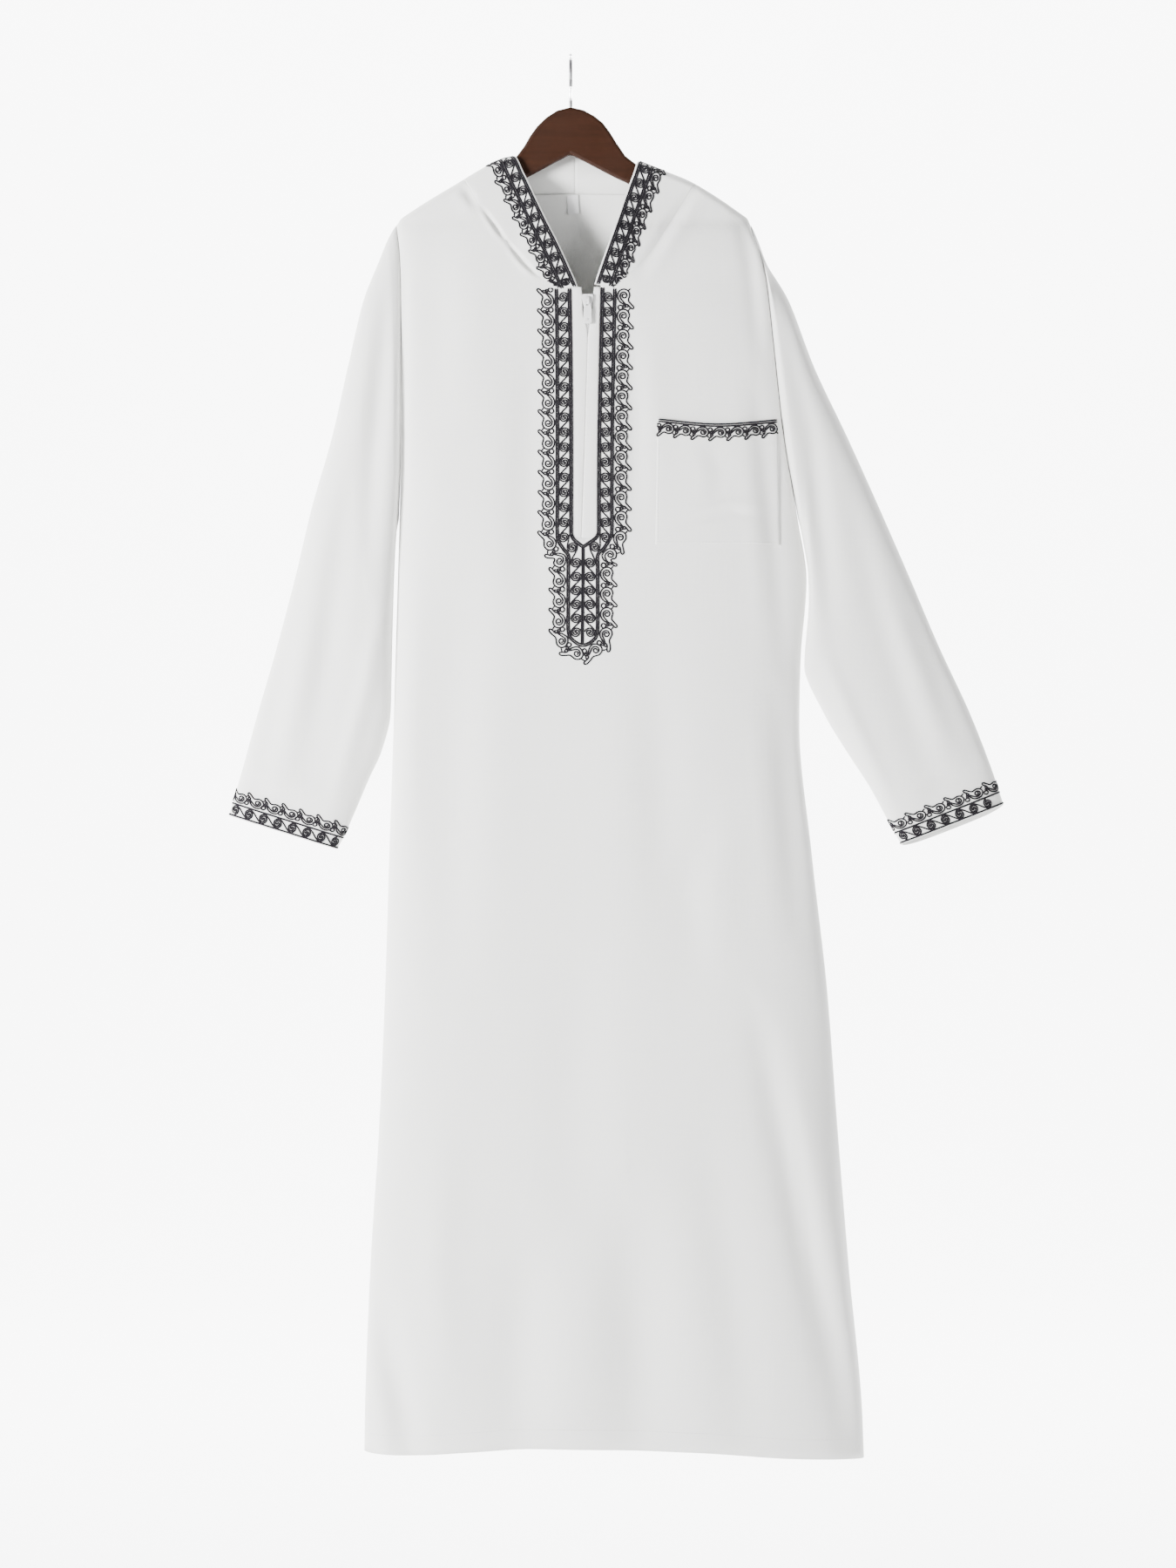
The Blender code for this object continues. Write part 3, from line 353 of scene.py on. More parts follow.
def clothWall(name, grid, material, thickness, flip=False, ring=False, skip=None, limit=None,
              edgeRound=0.25):
    # two faces of a cloth: the grid outside and the grid moved in along its normals, joined
    # round every free edge by a strip that bulges a little, as a folded edge does
    rows, cols = grid.shape[:2]
    normal = gridNormals(grid, ring) * (-1.0 if flip else 1.0)
    inner = grid - normal * thickness
    if limit is not None:
        inner = limit(inner)
    number = np.arange(rows * cols).reshape(rows, cols)
    after = np.roll(number, -1, axis=1) if ring else number[:, 1:]
    here = number if ring else number[:, :-1]
    cells = np.stack([here[:-1], here[1:], after[1:], after[:-1]], axis=-1)
    keep = np.ones(cells.shape[:2], bool) if skip is None else ~skip
    outside = cells[keep]
    if flip:
        outside = outside[:, ::-1]
    edges = np.stack([outside, np.roll(outside, -1, axis=1)], axis=-1).reshape(-1, 2)
    total = rows * cols
    forward = edges[:, 0] * total + edges[:, 1]
    backward = edges[:, 1] * total + edges[:, 0]
    free = edges[~np.isin(forward, backward)]
    flat, under = grid.reshape(-1, 3), inner.reshape(-1, 3)
    middle = (flat + under) / 2
    rimNumber = np.full(total, -1)
    rimPoints = np.unique(free)
    rimNumber[rimPoints] = 2 * total + np.arange(len(rimPoints))
    outward = np.zeros((total, 3))
    edgeStep = flat[free[:, 1]] - flat[free[:, 0]]
    push = np.cross(edgeStep, normal.reshape(-1, 3)[free[:, 0]])
    push /= np.maximum(np.linalg.norm(push, axis=1, keepdims=True), 1e-9)
    np.add.at(outward, free[:, 0], push)
    np.add.at(outward, free[:, 1], push)
    outward /= np.maximum(np.linalg.norm(outward, axis=1, keepdims=True), 1e-9)
    bulge = middle[rimPoints] + outward[rimPoints] * thickness * edgeRound
    points = np.vstack([flat, under, bulge])
    start, end = free[:, 0], free[:, 1]
    strips = [np.stack([end, start, rimNumber[start], rimNumber[end]], axis=1),
              np.stack([rimNumber[end], rimNumber[start], start + total, end + total], axis=1)]
    quads = np.vstack([outside, outside[:, ::-1] + total] + strips)
    used = np.unique(quads)
    place = np.full(len(points), -1)
    place[used] = np.arange(len(used))
    return buildMesh(name, points[used], place[quads], material)


def keepBehind(axis, side, middle=0.0):
    # the inner face stays half a seam gap on its own side of a plane
    def limit(points):
        held = points.copy()
        held[..., axis] = side * np.maximum(side * points[..., axis], side * middle + form["halfGap"])
        return held
    return limit


class Wire:
    # wraps a socket, so that + - * on it add Math nodes
    def __init__(self, tree, socket):
        self.tree, self.socket = tree, socket

    def math(self, operation, other=None, swap=False):
        node = self.tree.nodes.new("ShaderNodeMath")
        node.operation = operation
        for slot, value in zip(node.inputs, (other, self) if swap else (self, other)):
            if isinstance(value, Wire):
                self.tree.links.new(value.socket, slot)
            elif value is not None:
                slot.default_value = value
        return Wire(self.tree, node.outputs[0])

    def __add__(self, other): return self.math("ADD", other)
    def __radd__(self, other): return self.math("ADD", other)
    def __sub__(self, other): return self.math("SUBTRACT", other)
    def __rsub__(self, other): return self.math("SUBTRACT", other, swap=True)
    def __mul__(self, other): return self.math("MULTIPLY", other)
    def __rmul__(self, other): return self.math("MULTIPLY", other)


class Finish:
    # one material; add() makes any node from its type, settings and inputs
    def __init__(self, name, **constants):
        self.material = bpy.data.materials.new(name)
        self.material.use_nodes = True
        self.tree = self.material.node_tree
        self.shader = self.tree.nodes["Principled BSDF"]
        for key, value in constants.items():
            self.shader.inputs[key.replace("_", " ")].default_value = value

    def add(self, kind, settings=None, inputs=None, output=0):
        node = self.tree.nodes.new(kind)
        for key, value in (settings or {}).items():
            setattr(node, key, value)
        for key, value in (inputs or {}).items():
            if isinstance(value, Wire):
                self.tree.links.new(value.socket, node.inputs[key])
            else:
                node.inputs[key].default_value = value
        return Wire(self.tree, node.outputs[output])

    def feed(self, key, wire):
        self.tree.links.new(wire.socket, self.shader.inputs[key])

    def place(self, scale=(1.0, 1.0, 1.0), turn=(0.0, 0.0, 0.0), uv=False):
        start = self.add("ShaderNodeTexCoord", output=2 if uv else 3)
        return self.add("ShaderNodeMapping", inputs={
            "Vector": start, "Scale": scale, "Rotation": turn})

    def noise(self, vector, scale=1.0, detail=3.0, roughness=0.5):
        return self.add("ShaderNodeTexNoise", inputs={
            "Vector": vector, "Scale": scale, "Detail": detail, "Roughness": roughness})

    def blend(self, factor, first, second):
        return self.add("ShaderNodeMix", {"data_type": "RGBA"},
                        {0: factor, 6: first, 7: second}, output=2)

    def bump(self, height, strength, distance):
        self.feed("Normal", self.add("ShaderNodeBump", inputs={
            "Height": height, "Strength": strength, "Distance": distance}))


print("finishes")
clothLook = {"colour": (0.81, 0.808, 0.785, 1.0), "shade": (0.77, 0.768, 0.75, 1.0),
             "threadPitch": 0.0011, "threadBump": 0.00032}


def makeCloth(name, colour, shade, fineness=1.0):
    # plain weave from two crossed thread waves, with slubs, soft cloudy colour and small dents
    cloth = Finish(name, Roughness=0.86, Specular_IOR_Level=0.28, Sheen_Weight=0.12,
                   Sheen_Roughness=0.5)
    pitch = clothLook["threadPitch"] * fineness
    spot = cloth.place()
    split = cloth.add("ShaderNodeSeparateXYZ", inputs={"Vector": spot})
    upright = Wire(cloth.tree, split.socket.node.outputs[2])
    warp = (split * (2 * math.pi / pitch)).math("SINE")
    weft = (upright * (2 * math.pi / pitch)).math("SINE")
    slub = cloth.noise(cloth.place((260.0, 260.0, 18.0)))
    slubAcross = cloth.noise(cloth.place((16.0, 260.0, 300.0)))
    cloud = cloth.noise(spot, 7.0, 4.0, 0.55)
    weave = warp * weft * 0.5 + slub * 0.9 + slubAcross * 0.9
    tone = cloud * 0.7 + slub * 0.15 + slubAcross * 0.15
    cloth.feed("Base Color", cloth.blend(tone, shade, colour))
    cloth.feed("Roughness", 0.80 + cloud * 0.12)
    cloth.bump(weave + cloud * 1.5, 0.55, clothLook["threadBump"])
    return cloth.material


clothWhite = makeCloth("clothWhite", clothLook["colour"], clothLook["shade"])


def pieceOf(obj, node):
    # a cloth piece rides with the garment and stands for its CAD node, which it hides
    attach(obj, "garment")
    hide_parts(node)


print("front and back")
panelCut = {"thickness": 1.3, "frontRows": 190, "backRows": 170, "firstShare": 0.004}


def neckLine(rows):
    # neck seam of one hood half as x and z, bent up over the ridge at the shoulder
    run = hoodRun(rows, 60)
    rise = run[:, 4] * (through(ridgeRows, run[:, 0], 1) - run[:, 1])
    return np.column_stack([run[:, 0], run[:, 1] + rise])


def hoodRun(rows, count):
    # strips of one hood front, more of them where the hood turns over the hanger's arm:
    # seam x, z, rim x, z and how much of the ridge's own curve the strip follows
    rows = np.asarray(rows, float)
    lower, top = rows[-2], rows[-1].copy()
    top[1], top[3] = through(ridgeRows, top[0], 1), through(ridgeRows, top[2], 1)
    below = np.linspace(0.0, len(rows) - 2.0, count // 2)
    steps = np.column_stack([np.arange(len(rows) - 1.0), rows[:-1]])
    low = np.stack([through(steps, below, column) for column in (1, 2, 3, 4)], axis=1)
    share = 1.0 - (1.0 - np.linspace(0.0, 1.0, count - count // 2 + 1)[1:]) ** 1.9
    high = lower + (top - lower) * share[:, None]
    bow = np.concatenate([np.zeros(len(low)), share ** 3])
    return np.column_stack([np.vstack([low, high]), bow])


def frontTopZ(x):
    # highest line of the front: the shoulder ridge, the neck seams, and the slot between them
    left, right = neckLine(hoodFrontLeft)[::-1], neckLine(hoodFrontRight)
    slotTop = [[0.0, -254.9], [16.6, form["slotTopZ"]], [form["slotRightX"], -252.1]]
    line = np.vstack([left, slotTop, right])
    onNeck = np.interp(x, line[:, 0], line[:, 1]) - form["seamGap"]
    ridge = through(ridgeRows, x, 1)
    return np.where((x > line[0, 0]) & (x < line[-1, 0]), onNeck, ridge)


def downShares(count, top):
    # rows crowd towards the top, where the cloth turns over the hanger
    even = np.linspace(0.0, 1.0, count)
    rolled = [0.0, 0.00005, 0.0002, 0.0005, 0.0012, 0.0025]
    return np.concatenate([rolled, top + (1.0 - top) * even ** 1.15])


def panelAcross(part, share, z):
    # across place in one of the three runs beside the slot
    edges = [through(bodyRows, z, column) for column in (1, 3, 4, 2)]
    low = np.select([part == 0, part == 1, part == 2], edges[:3])
    high = np.select([part == 0, part == 1, part == 2], edges[1:])
    return low + (high - low) * share


def frontGrid():
    # columns crowd at both sides, where the cloth turns into the armholes
    leftTurn = 26.0 * (1 - np.cos(np.linspace(0, math.pi / 2, 10)))
    rightTurn = 32.0 * (1 - np.sin(np.linspace(0.08, math.pi / 2, 14)))
    left = np.concatenate([form["leftTopX"] + leftTurn, np.linspace(-160.0, 0.0, 40)])
    middle = np.linspace(0.0, form["slotRightX"], 8)[1:-1]
    right = np.concatenate([np.linspace(form["slotRightX"], 160.0, 34),
                            form["rightTopX"] - rightTurn])
    topX = np.concatenate([left, middle, right])
    part = np.repeat([0, 1, 2], [len(left), len(middle), len(right)])
    part[np.searchsorted(topX, 0.0)] = 0
    top = frontTopZ(topX)
    onShoulder = (topX < hoodFrontLeft[-1][0]) | (topX > hoodFrontRight[-1][0])
    level = np.where(onShoulder, np.minimum(top, form["shoulderZ"]), top)
    start, end = panelAcross(part, 0.0, level), panelAcross(part, 1.0, level)
    share = (topX - start) / (end - start)
    foot = through(hemRows, panelAcross(part, share, form["hemZ"]), 1)
    down = downShares(panelCut["frontRows"], panelCut["firstShare"])
    z = top + (foot - top) * down[:, None]
    x = panelAcross(np.broadcast_to(part, z.shape), np.broadcast_to(share, z.shape), z)
    slot = np.zeros((len(down) - 1, len(topX) - 1), bool)
    columns = (part[:-1] == 1) | (part[1:] == 1)
    slot[:, columns] = (z[1:, :-1][:, columns] > form["slotFootZ"] - 1.0)
    return frontPoint(x, z), slot


hem = {"turnUp": 21.0, "step": 0.35, "groove": 0.3}


def pressHem(grid, footRow, side):
    # the turned hem: a hair thicker below its stitching, with a shallow groove at the stitches
    z = grid[..., 2]
    above = z - z[footRow]
    raised = hem["step"] * (1.0 - ease((above - hem["turnUp"]) / 1.5 + 0.5))
    groove = hem["groove"] * np.exp(-((above - hem["turnUp"]) / 1.6) ** 2)
    grid[..., 1] += side * (raised - groove)
    return grid


frontOuter, slotCells = frontGrid()
frontOuter = pressHem(frontOuter, -1, -1.0)
frontPiece = clothWall("thobeFront", frontOuter, clothWhite, panelCut["thickness"], skip=slotCells,
                       limit=keepBehind(1, -1))
pieceOf(frontPiece, "front_panel")


def backNeckLine():
    # the back neck seam from left to right, as x and z
    share = np.linspace(0.0, 1.0, 41)
    out, z = through(hoodBackRows, share, 1), through(hoodBackRows, share, 2)
    left = np.column_stack([form["centreBackX"] - out, z])
    fall = form["neckFall"] * (out / form["neckOut"]) ** 3
    right = np.column_stack([form["centreBackX"] + out * form["hoodRightSpread"], z - fall])
    return np.vstack([left, right[::-1][1:]])


def backGrid():
    neck = backNeckLine()
    reach = np.abs(neck[:, 0] - form["centreBackX"]).max()
    neck[:, 1] -= 2.4 * (np.abs(neck[:, 0] - form["centreBackX"]) / reach) ** 4
    turn = 1 - np.cos(np.linspace(0, math.pi / 2, 18))
    left, right = form["leftTopX"] + 70.0 * turn, form["rightTopX"] - 60.0 * turn
    topX = np.concatenate([left[left < neck[0, 0] - 1.0], np.linspace(neck[0, 0], neck[-1, 0], 62),
                           right[right > neck[-1, 0] + 1.0][::-1]])
    onNeck = np.interp(topX, neck[:, 0], neck[:, 1]) - form["seamGap"]
    top = np.where((topX >= neck[0, 0]) & (topX <= neck[-1, 0]), onNeck, through(ridgeRows, topX, 1))
    share = (topX - form["leftTopX"]) / (form["rightTopX"] - form["leftTopX"])

    def across(z):
        return through(bodyRows, z, 1) * (1 - share) + through(bodyRows, z, 2) * share

    foot = through(hemRows, across(form["hemZ"]), 2)
    down = downShares(panelCut["backRows"], panelCut["firstShare"])
    z = top + (foot - top) * down[:, None]
    return backPoint(across(z), z)


backOuter = pressHem(backGrid(), -1, 1.0)
backPiece = clothWall("thobeBack", backOuter, clothWhite, panelCut["thickness"], flip=True,
                      limit=keepBehind(1, 1))
pieceOf(backPiece, "back_panel")

print("sleeves")
# line of (x, z), half width, height, side of its ridge, for the front and the back layer
sleeveFolds = {
    "left": ((((-196, -230), (-206, -330), (-216, -440), (-222, -560)), 12, -2.4, 1),
             (((-232, -420), (-252, -540), (-268, -660), (-286, -780)), 16, -1.8, -1),
             (((-200, -580), (-226, -700), (-262, -830)), 11, 1.8, 0),
             (((-300, -600), (-322, -700), (-342, -800)), 13, -1.6, 1),
             (((-286, -820), (-330, -812), (-356, -792)), 10, -1, 0)),
    "leftBack": ((((-200, -240), (-214, -380), (-224, -540)), 13, -2.8, 1),
                 (((-236, -460), (-262, -620), (-290, -770)), 15, -2.4, -1),
                 (((-208, -620), (-240, -730), (-276, -830)), 12, -2, 1)),
    "right": ((((236, -300), (262, -420), (276, -540), (286, -640)), 12, -2.2, -1),
              (((300, -470), (332, -590), (366, -700), (396, -800)), 16, -1.7, 1),
              (((276, -660), (312, -740), (352, -826)), 10, 2, 0),
              (((352, -560), (392, -660), (430, -760)), 13, -1.6, -1),
              (((392, -800), (430, -782), (452, -770)), 10, -1, 0)),
    "rightBack": ((((240, -300), (272, -440), (300, -580)), 13, -2.8, -1),
                  (((310, -500), (352, -640), (400, -780)), 15, -2.2, 1),
                  (((280, -650), (318, -740), (364, -820)), 11, -2, -1)),
}
sleeveCut = {"thickness": 1.3, "rings": 120, "across": 46}


def sleeveGrid(side, rows):
    # rings fan out from the armhole: an outer fold and an inner seam joined by a flat,
    # round-edged section, in front and behind
    shares = 0.5 - 0.5 * np.cos(np.linspace(0.0, math.pi, sleeveCut["across"] + 1))
    armZ = form["shoulderZ"] + (form["underarmZ"] - form["shoulderZ"]) * shares
    armX = through(bodyRows, armZ, edgeColumn[side]) + signOf[side] * form["armholeGap"]
    most = form["armholeFront" + side.capitalize()]
    first = [np.column_stack([armX, -armholeDepth(armZ, most) - form["halfGap"], armZ]),
             np.column_stack([armX, armholeDepth(armZ, form["armholeBack"]) + form["halfGap"], armZ])]
    bow = armX - (armX[0] + (armX[-1] - armX[0]) * shares)
    steps = np.column_stack([np.arange(len(rows)), np.asarray(rows, float)])
    at = np.linspace(0.0, len(rows) - 1.0, sleeveCut["rings"])
    outer = np.stack([through(steps, at, 1), through(steps, at, 2)], axis=1)
    inner = np.stack([through(steps, at, 3), through(steps, at, 4)], axis=1)
    line = outer[:, None] + (inner - outer)[:, None] * shares[None, :, None]
    line[..., 0] += bow * np.maximum(0.0, 0.9 - 0.25 * at)[:, None]
    x, z = line[..., 0], line[..., 1]
    shape = rounded(shares, 3.4)
    cuff = ease((at - (len(rows) - 1.55)) / 0.4)[:, None]
    tame = (1.0 - 0.8 * cuff) * np.clip(shape * 1.3 - 0.25, 0.0, 1.0)
    inFront, behind = [tame * foldHeight(x, z, sleeveFolds[side + layer]) for layer in ("", "Back")]
    frontY = -through(steps, at, 5)[:, None] * shape - inFront
    backY = through(steps, at, 6)[:, None] * shape + behind
    backZ = z - through(steps, at, 7)[:, None] * shape
    faces = np.stack([x, frontY, z], axis=-1), np.stack([x, backY, backZ], axis=-1)
    return [np.concatenate([edge[None], face]) for edge, face in zip(first, faces)]


def makeSleeve(side, rows):
    front, back = sleeveGrid(side, rows)
    ring = np.concatenate([front, back[:, -2:0:-1]], axis=1)
    sign = signOf[side]

    def besideBody(points):
        # above the underarm the inner face stays outside the body's edge
        held = points.copy()
        edge = through(bodyRows, points[..., 2], edgeColumn[side]) + sign * form["armholeGap"]
        above = points[..., 2] > form["underarmZ"]
        outside = sign * np.maximum(sign * points[..., 0], sign * edge)
        held[..., 0] = np.where(above, outside, points[..., 0])
        return held

    piece = clothWall("sleeve" + side.capitalize() + "Cloth", ring, clothWhite,
                      sleeveCut["thickness"], flip=side == "right", ring=True, limit=besideBody)
    pieceOf(piece, "sleeve_" + side)
    return front, back


sleeveLeftFaces = makeSleeve("left", sleeveLeft)
sleeveRightFaces = makeSleeve("right", sleeveRight)

print("hood")
hoodCut = {"thickness": 1.2, "frontStrips": 44, "backStrips": 56, "along": 74, "capSoft": 1.6}
# across, the height that the hood's back keeps under, so that it stays behind the hanger
hoodCap = ((-190, -170), (-120, -137), (-64, -109.5), (-50, -104), (-30, -88), (0, -78),
           (30, -88), (52, -108), (72, -117), (100, -129), (132, -139), (196, -176))


def hoodBackPath(share, spread):
    # up from the neck seam, over the ridge, down to the pouch and up again to the rim
    values = [float(through(hoodBackRows, share, column)) for column in range(1, 9)]
    out, (seamZ, ridgeZ, pouchZ, rimZ) = values[::2], values[1::2]
    drop = form["neckFall"] * (out[0] / form["neckOut"]) ** 3 if spread > 0 else 0.0
    seamX, ridgeX, pouchX, rimX = [form["centreBackX"] + spread * value for value in out]
    opening = float(ease(share / 0.3))

    def onPanel(x, z):
        return float(panelDepth(np.array(x), np.array(z), "back"))

    seam = np.array([seamX, onPanel(seamX, seamZ - drop), seamZ - drop])
    depth = onPanel(pouchX, pouchZ)
    over = 1.0 + opening * 9.0
    middle = (seamX + ridgeX) / 2
    seam[1] += 2.5 * opening
    path = [seam, [middle, seam[1] - 3.5 * opening, seam[2] + 0.16 * (ridgeZ - seam[2])],
            [middle, seam[1] - 7.5 * opening, seam[2] + 0.34 * (ridgeZ - seam[2])],
            [ridgeX, seam[1] + 0.2 * over, ridgeZ - 2.5 * opening],
            [ridgeX, seam[1] + 0.5 * over, ridgeZ + 1.5 * opening],
            [ridgeX, seam[1] + over, ridgeZ - 4.0 * opening]]
    for part in (0.2, 0.4, 0.6, 0.8):
        x = ridgeX + (pouchX - ridgeX) * float(ease(part))
        z = ridgeZ + (pouchZ - ridgeZ) * part
        clear = onPanel(x, z) + 2.4 + 4.0 * opening
        path.append([x, max(clear, seam[1] + over) if share > 0 else clear, z])
    path.append([pouchX, depth + 2.4 + 4.0 * opening, pouchZ + 9.0 * opening])
    path.append([pouchX, depth + 3.2 + 11.0 * opening, pouchZ])
    path.append([pouchX + (rimX - pouchX) * 0.08, depth + 4.0 + 17.5 * opening,
                 pouchZ + 9.0 * opening])
    rimDepth = onPanel(rimX, rimZ)
    path.append([(pouchX + rimX) / 2, (depth + rimDepth) / 2 + 3.0 + 20.5 * opening,
                 (pouchZ + rimZ) / 2])
    path.append([rimX, rimDepth + 19.0 * opening, rimZ])
    return np.array(path)


def hoodGrid(side, rows):
    spread = -1.0 if side == "left" else form["hoodRightSpread"]
    shares = np.linspace(0.0, 1.0, hoodCut["along"])
    run = hoodRun(rows, hoodCut["frontStrips"])
    x = run[:, :1] + (run[:, 2:3] - run[:, :1]) * shares
    straight = run[:, 1:2] + (run[:, 3:4] - run[:, 1:2]) * shares
    z = straight + run[:, 4:5] * (through(ridgeRows, x, 1) - straight)
    front = frontPoint(x, z)
    back = [along(hoodBackPath(share, spread), shares)
            for share in 0.02 + 0.98 * (np.linspace(0.0, 1.0, hoodCut["backStrips"]) ** 1.35)]
    # the hood's top stays under a soft cap: cap - k log(1 + e^((cap - z) / k))
    back = np.array(back)
    under = through(hoodCap, back[..., 0], 1) - back[..., 2]
    back[..., 2] += under - hoodCut["capSoft"] * np.logaddexp(0.0, under / hoodCut["capSoft"])
    grid = np.concatenate([front, back])
    grid[-1, :, 0] = form["centreBackX"] + math.copysign(form["halfGap"], spread)
    return grid


def hoodFolds(grid, side):
    # slack creases of the pouch and a crease beside the crown, pushed along the hood's normals
    normal = gridNormals(grid) * signOf[side]
    station = np.linspace(0.0, 1.0, grid.shape[0])[:, None]
    reach = np.linspace(0.0, 1.0, grid.shape[1])[None, :]
    behind = ease((station - 0.47) / 0.12)
    wave = 1.4 * np.sin(9.0 * reach + 7.0 * station) * np.sin(math.pi * reach) ** 2
    wave = wave + 1.1 * np.sin(17.0 * station - 5.0 * reach) * np.sin(math.pi * reach)
    return grid + normal * (behind * wave * ease((1.0 - station) / 0.08))[..., None]


hoods = {}
for side, rows in (("left", hoodFrontLeft), ("right", hoodFrontRight)):
    grid = hoodFolds(hoodGrid(side, rows), side)
    piece = clothWall("hood" + side.capitalize() + "Cloth", grid, clothWhite, hoodCut["thickness"],
                      flip=side == "left", limit=keepBehind(0, signOf[side], form["centreBackX"]),
                      edgeRound=0.5)
    pieceOf(piece, "hood_" + side)
    hoods[side] = (grid, gridNormals(grid) * signOf[side])

print("embroidery")
# sizes of the couched cord and its repeats, in millimetres; v is measured from the line
# that a repeat stands on, u along it
cordLook = {"line": 1.0, "fine": 0.88, "stitch": 0.27, "flatten": 0.7, "sides": 6, "sink": 0.4,
            "lineGap": 1.15}
scroll = {"pitch": 16.4, "turns": 1.1, "points": 58, "linkPoints": 15}
wideLace = {"pitch": 22.2, "reach": 20.4}
narrowLace = {"pitch": 20.4, "reach": 15.6}
pocketLace = {"pitch": 18.8, "reach": 16.6}
# one repeat of the lace, drawn for a pitch of 22.2 and a reach of 21 from the line: the leaf
# runs from the knot down beside the line, round the spiral and out to the picot's tip
laceLeaf = ((8.7, 15.0), (8.9, 11.4), (7.2, 7.4), (3.8, 4.3), (-1.0, 3.2), (-5.8, 5.4),
            (-7.7, 10.6), (-5.6, 15.2), (-1.4, 16.9), (2.4, 15.8), (5.2, 15.7), (8.6, 18.7),
            (11.8, 21.6), (13.7, 20.8), (12.7, 18.2), (9.3, 15.3))
laceLink = ((-9.4, 17.8), (-7.6, 16.6), (-5.4, 15.0))
laceCurl = {"u": -0.7, "v": 10.4, "outer": 4.8, "inner": 1.0, "turns": 1.55, "start": -0.85}
laceBeads = ((12.3, 6.6, 2.5), (11.4, 10.6, 1.35), (10.4, 13.9, 1.5))


def doubleSpiral(radius, turns, count, start=math.pi / 2):
    # two arms that meet in the centre: r = R |s|^0.8, the angle falls by the turns as s goes
    # from 0 to 1, and the incoming arm is the outgoing one turned by half a turn
    s = np.linspace(-1.0, 1.0, count)
    r = radius * np.abs(s) ** 0.8
    angle = start + 2 * math.pi * turns * (1.0 - np.abs(s))
    sign = np.where(s < 0, -1.0, 1.0)
    return np.stack([sign * r * np.cos(angle), sign * r * np.sin(angle)], axis=1)


def bendBetween(start, startWay, end, endWay, count):
    # a cubic from start to end that leaves and arrives along the two ways
    t = np.linspace(0.0, 1.0, count)[:, None]
    return ((1 + 2 * t) * (1 - t) ** 2 * start + t * (1 - t) ** 2 * startWay
            + t * t * (3 - 2 * t) * end - t * t * (1 - t) * endWay)


def scrollChain(centres, radius, side):
    # running spirals: each leaves its spiral on one side and enters the next on the other
    centres = np.asarray(centres, float)
    way = np.gradient(centres, axis=0)
    way /= np.linalg.norm(way, axis=1, keepdims=True)
    across = side * np.stack([-way[:, 1], way[:, 0]], axis=1)
    spiral = doubleSpiral(1.0, scroll["turns"], scroll["points"])
    runs = []
    for index, centre in enumerate(centres):
        runs.append(centre + radius * (spiral[:, :1] * way[index] + spiral[:, 1:] * across[index]))
        if index + 1 < len(centres):
            start = centre + radius * across[index]
            end = centres[index + 1] - radius * across[index + 1]
            reach = np.linalg.norm(centres[index + 1] - centre) * 1.05
            runs.append(bendBetween(start, way[index] * reach, end, way[index + 1] * reach,
                                    scroll["linkPoints"])[1:-1])
    return [np.vstack(runs)]


def laceUnit(look, at):
    # the leaf with its picot, a curl inside it that winds to its middle, and three small rings
    sizes = [look["pitch"] / 22.2, look["reach"] / 21.0]
    leaf = along(np.array(laceLeaf), np.linspace(0.0, 1.0, 58))
    wind = np.linspace(0.0, 1.0, 30)
    turn = laceCurl["start"] - 2 * math.pi * laceCurl["turns"] * wind
    reach = laceCurl["outer"] + (laceCurl["inner"] - laceCurl["outer"]) * wind ** 0.9
    curl = reach[:, None] * np.stack([np.cos(turn), np.sin(turn)], axis=1)
    curl += [laceCurl["u"], laceCurl["v"]]
    lead = bendBetween(np.array([8.6, 12.4]), np.array([-2.6, -4.4]), curl[0],
                       np.array([-4.4, -3.2]), 7)
    ring = np.linspace(0.0, 2 * math.pi, 15)
    circle = np.stack([np.cos(ring), np.sin(ring)], axis=1)
    runs = [leaf, np.vstack([lead[:-1], curl]), np.array(laceLink)]
    runs += [circle * size + [u, v] for u, v, size in laceBeads]
    return [run * sizes + [at, 0.0] for run in runs]


def laceRuns(look, length):
    # as many repeats as fit at about their pitch, spread evenly from end to end
    count = round(length / look["pitch"])
    units = (np.arange(count) + 0.38) * length / count
    return [run for at in units for run in laceUnit(look, at)]


def mirrored(runs, length):
    # the same runs drawn from the other end
    return [np.column_stack([length - run[:, 0], run[:, 1]]) for run in runs]


def raised(runs, v):
    return [run + [0.0, v] for run in runs]


def lineRuns(length, places, step=2.2):
    u = np.linspace(0.0, length, max(3, int(length / step)))
    return [np.stack([u, np.full_like(u, v)], axis=1) for v in places]


def scrollCentres(length, v, first=0.5):
    u = np.arange(scroll["pitch"] * first, length - scroll["pitch"] * 0.4, scroll["pitch"])
    return np.stack([u, np.full_like(u, v)], axis=1)


def besidePath(points, side, turn=5.0):
    # (u, v) to the plane: u along a smooth path, v out from it along the normal, whose
    # direction is taken over twice the turn so that it turns gently at the path's corners
    path = along(points, np.linspace(0.0, 1.0, 1400))
    length = np.concatenate([[0.0], np.cumsum(np.linalg.norm(np.diff(path, axis=0), axis=1))])

    def at(u):
        return np.stack([np.interp(u, length, path[:, axis]) for axis in (0, 1)], axis=-1)

    def place(uv):
        ahead, behind = [at(np.clip(uv[:, 0] + way, 0, length[-1])) for way in (turn, -turn)]
        way = (ahead - behind) / np.linalg.norm(ahead - behind, axis=1, keepdims=True)
        return at(uv[:, 0]) + side * uv[:, 1:] * np.stack([-way[:, 1], way[:, 0]], axis=1)

    return place, length[-1]


